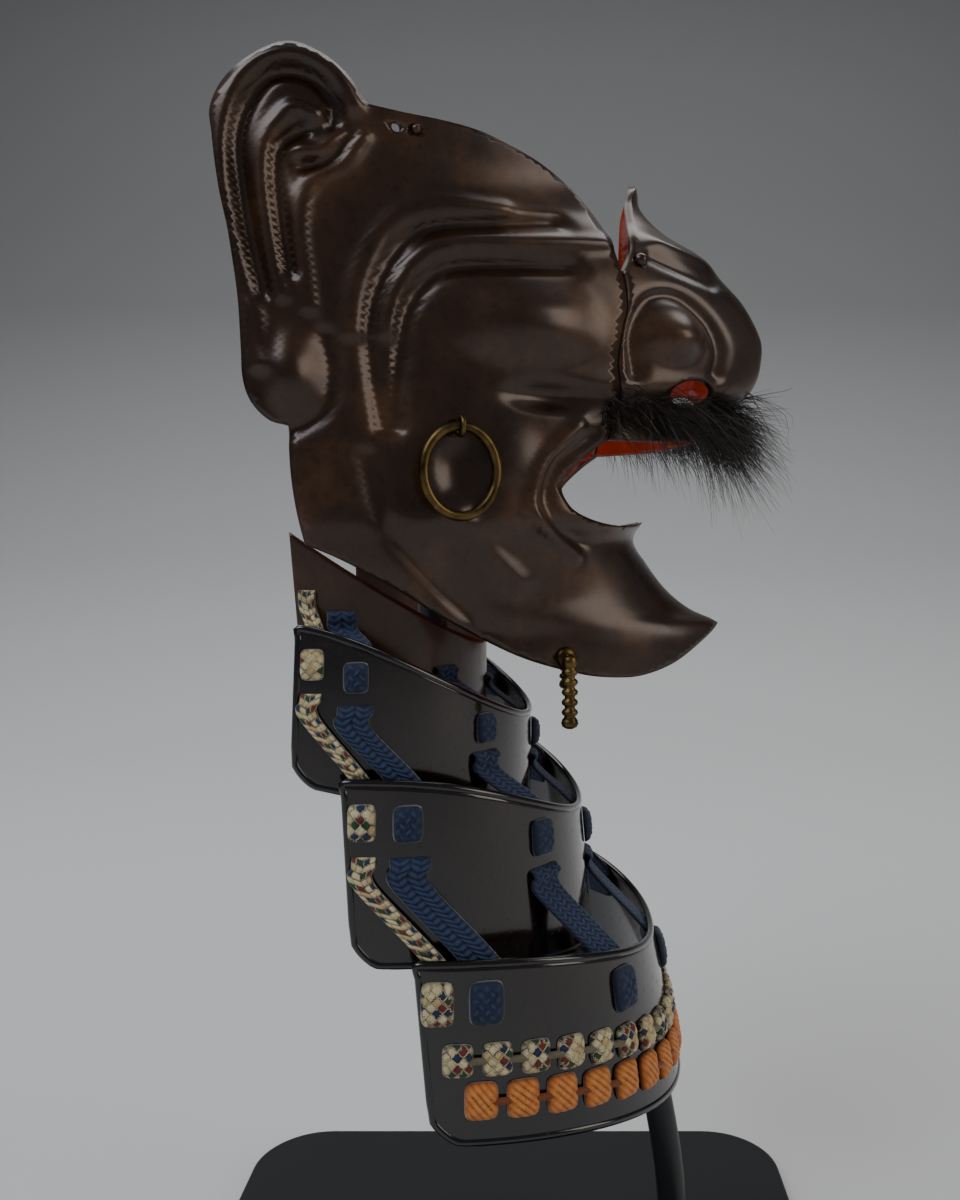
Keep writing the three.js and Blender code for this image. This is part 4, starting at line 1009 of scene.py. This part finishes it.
def stand():
    half, r = BASE["width"] / 2, BASE["corner"]
    levels = [(0, BASE["edge"]), (BASE["edge"], 0), (BASE["thick"] - BASE["edge"], 0),
              (BASE["thick"] - BASE["edge"] * 0.3, BASE["edge"] * 0.3), (BASE["thick"], BASE["edge"])]
    points, corner_steps = [], 14
    for z, inset in levels:
        for quarter in range(4):
            for a in np.linspace(0, math.pi / 2, corner_steps) + quarter * math.pi / 2:
                cx = (half - r) * (1 if quarter in (0, 3) else -1)
                cy = (half - r) * (1 if quarter in (0, 1) else -1)
                points.append((cx + math.cos(a) * (r - inset), cy + math.sin(a) * (r - inset), z))
    n = 4 * corner_steps
    faces = [(i * n + k, i * n + (k + 1) % n, (i + 1) * n + (k + 1) % n, (i + 1) * n + k)
             for i in range(len(levels) - 1) for k in range(n)]
    faces += [tuple(range(n))[::-1], tuple(range((len(levels) - 1) * n, len(levels) * n))]
    base = make("stand_base_plate", points, faces, STAND, smooth=False)
    settle(base, ["stand_base"])
    route = smooth_path([(x, 0, z) for x, z in POLE], 10)
    post = bars("stand_post", [even_path(route, 2.5)], POLE_RADIUS, 28, STAND)
    settle(post, ["stand_pole"])
    collar = turned("stand_collar", [(0, 4.8), (9, 4.8), (9, 6.6), (8.4, 7.4), (6.2, 8.8), (5.2, 9), (0, 9)],
                    (POLE[0][0], 0, 0), (0, 0, 1), STAND, 40)
    settle(collar, ["stand_pole"])
    bar = turned("stand_crossbar", [(0, -50), (6.4, -50), (7, -49.4), (7, -47.6), (6.4, -47), (4, -47), (4, 47), (6.4, 47),
                                    (7, 47.6), (7, 49.4), (6.4, 50), (0, 50)], (-24, 0, 285), (0, 1, 0), STAND, 28)
    settle(bar, ["stand_pole"])


# ---- studio ----
def backdrop():
    """A pale seamless sweep: bright floor, with painted shade that turns the paper grey as it climbs."""
    profile = [(-1.6, 0)] + [(0.9 + 0.9 * math.sin(a), 0.9 - 0.9 * math.cos(a)) for a in np.linspace(0, math.pi / 2, 24)]
    profile.append((1.8, 4.0))
    points = [(x * 1000, y * 1000, z * 1000) for y, z in profile for x in (-3.5, 3.5)]
    faces = [(2 * i, 2 * i + 1, 2 * i + 3, 2 * i + 2) for i in range(len(profile) - 1)]
    material, tree, shader = finish("studio paper", "c8c8c8", 0.0, 0.9)
    place = add(tree, "ShaderNodeTexCoord").outputs["Object"]
    parts = add(tree, "ShaderNodeSeparateXYZ", links={"Vector": place})
    painted_shade_climb = add(tree, "ShaderNodeMapRange", {"From Min": 0.0, "From Max": 1.7}, {"Value": parts.outputs["Z"]})
    # Painted shade: the paper's colour darkens from the bright floor to grey as the sweep rises.
    tone = ramp(tree, painted_shade_climb.outputs["Result"], [(0.0, "dcdcdb"), (0.12, "bdbdbc"), (0.4, "8b8b8a"), (1.0, "6c6c6b")])
    tree.links.new(tone.outputs["Color"], shader.inputs["Base Color"])
    paper = make("studio_sweep", points, faces, material)


def lamp(name, place, target, size, power, colour="ffffff"):
    data = bpy.data.lights.new(name, "AREA")
    data.shape = "RECTANGLE"
    data.size, data.size_y = size
    data.energy = power
    data.color = linear(colour)[:3]
    light = bpy.data.objects.new(name, data)
    light.location = place
    light.rotation_euler = (Vector(target) - Vector(place)).to_track_quat("-Z", "Y").to_euler()
    bpy.context.scene.collection.objects.link(light)


def studio():
    backdrop()
    middle = (0, 0, 0.25)
    lamp("key_softbox", (-0.75, -0.55, 1.25), middle, (0.9, 0.7), 9.0, "eef4ff")
    lamp("front_softbox", (1.3, -0.5, 0.75), middle, (0.6, 0.9), 5.0, "fff6ea")
    lamp("floor_softbox", (0.0, 0.75, 1.7), (0, 0.6, 0), (2.2, 1.0), 16.0, "ffffff")
    world = bpy.data.worlds.new("studio air")
    bpy.context.scene.world = world
    world.use_nodes = True
    world.node_tree.nodes["Background"].inputs["Color"].default_value = linear("c4ccd8")
    world.node_tree.nodes["Background"].inputs["Strength"].default_value = 0.22


def camera():
    data = bpy.data.cameras.new("camera")
    data.sensor_fit = "VERTICAL"
    data.sensor_height = 36
    data.lens = 33
    data.shift_x = -0.0583
    data.shift_y = -0.0575
    data.clip_start = 0.01
    body = bpy.data.objects.new("camera", data)
    body.location = (0.013, -0.345, 0.247)
    body.rotation_euler = (math.pi / 2, 0, 0)
    bpy.context.scene.collection.objects.link(body)
    bpy.context.scene.camera = body


camera()
studio()
face_plate()
nose_plate()
for lame_name in BANDS:
    lame(lame_name, IRON if lame_name == "neck_band" else BLACK, EDGE)
laces()
foot_rows()
moustache()
studs()
ear_rings()
chin_pegs()
stand()
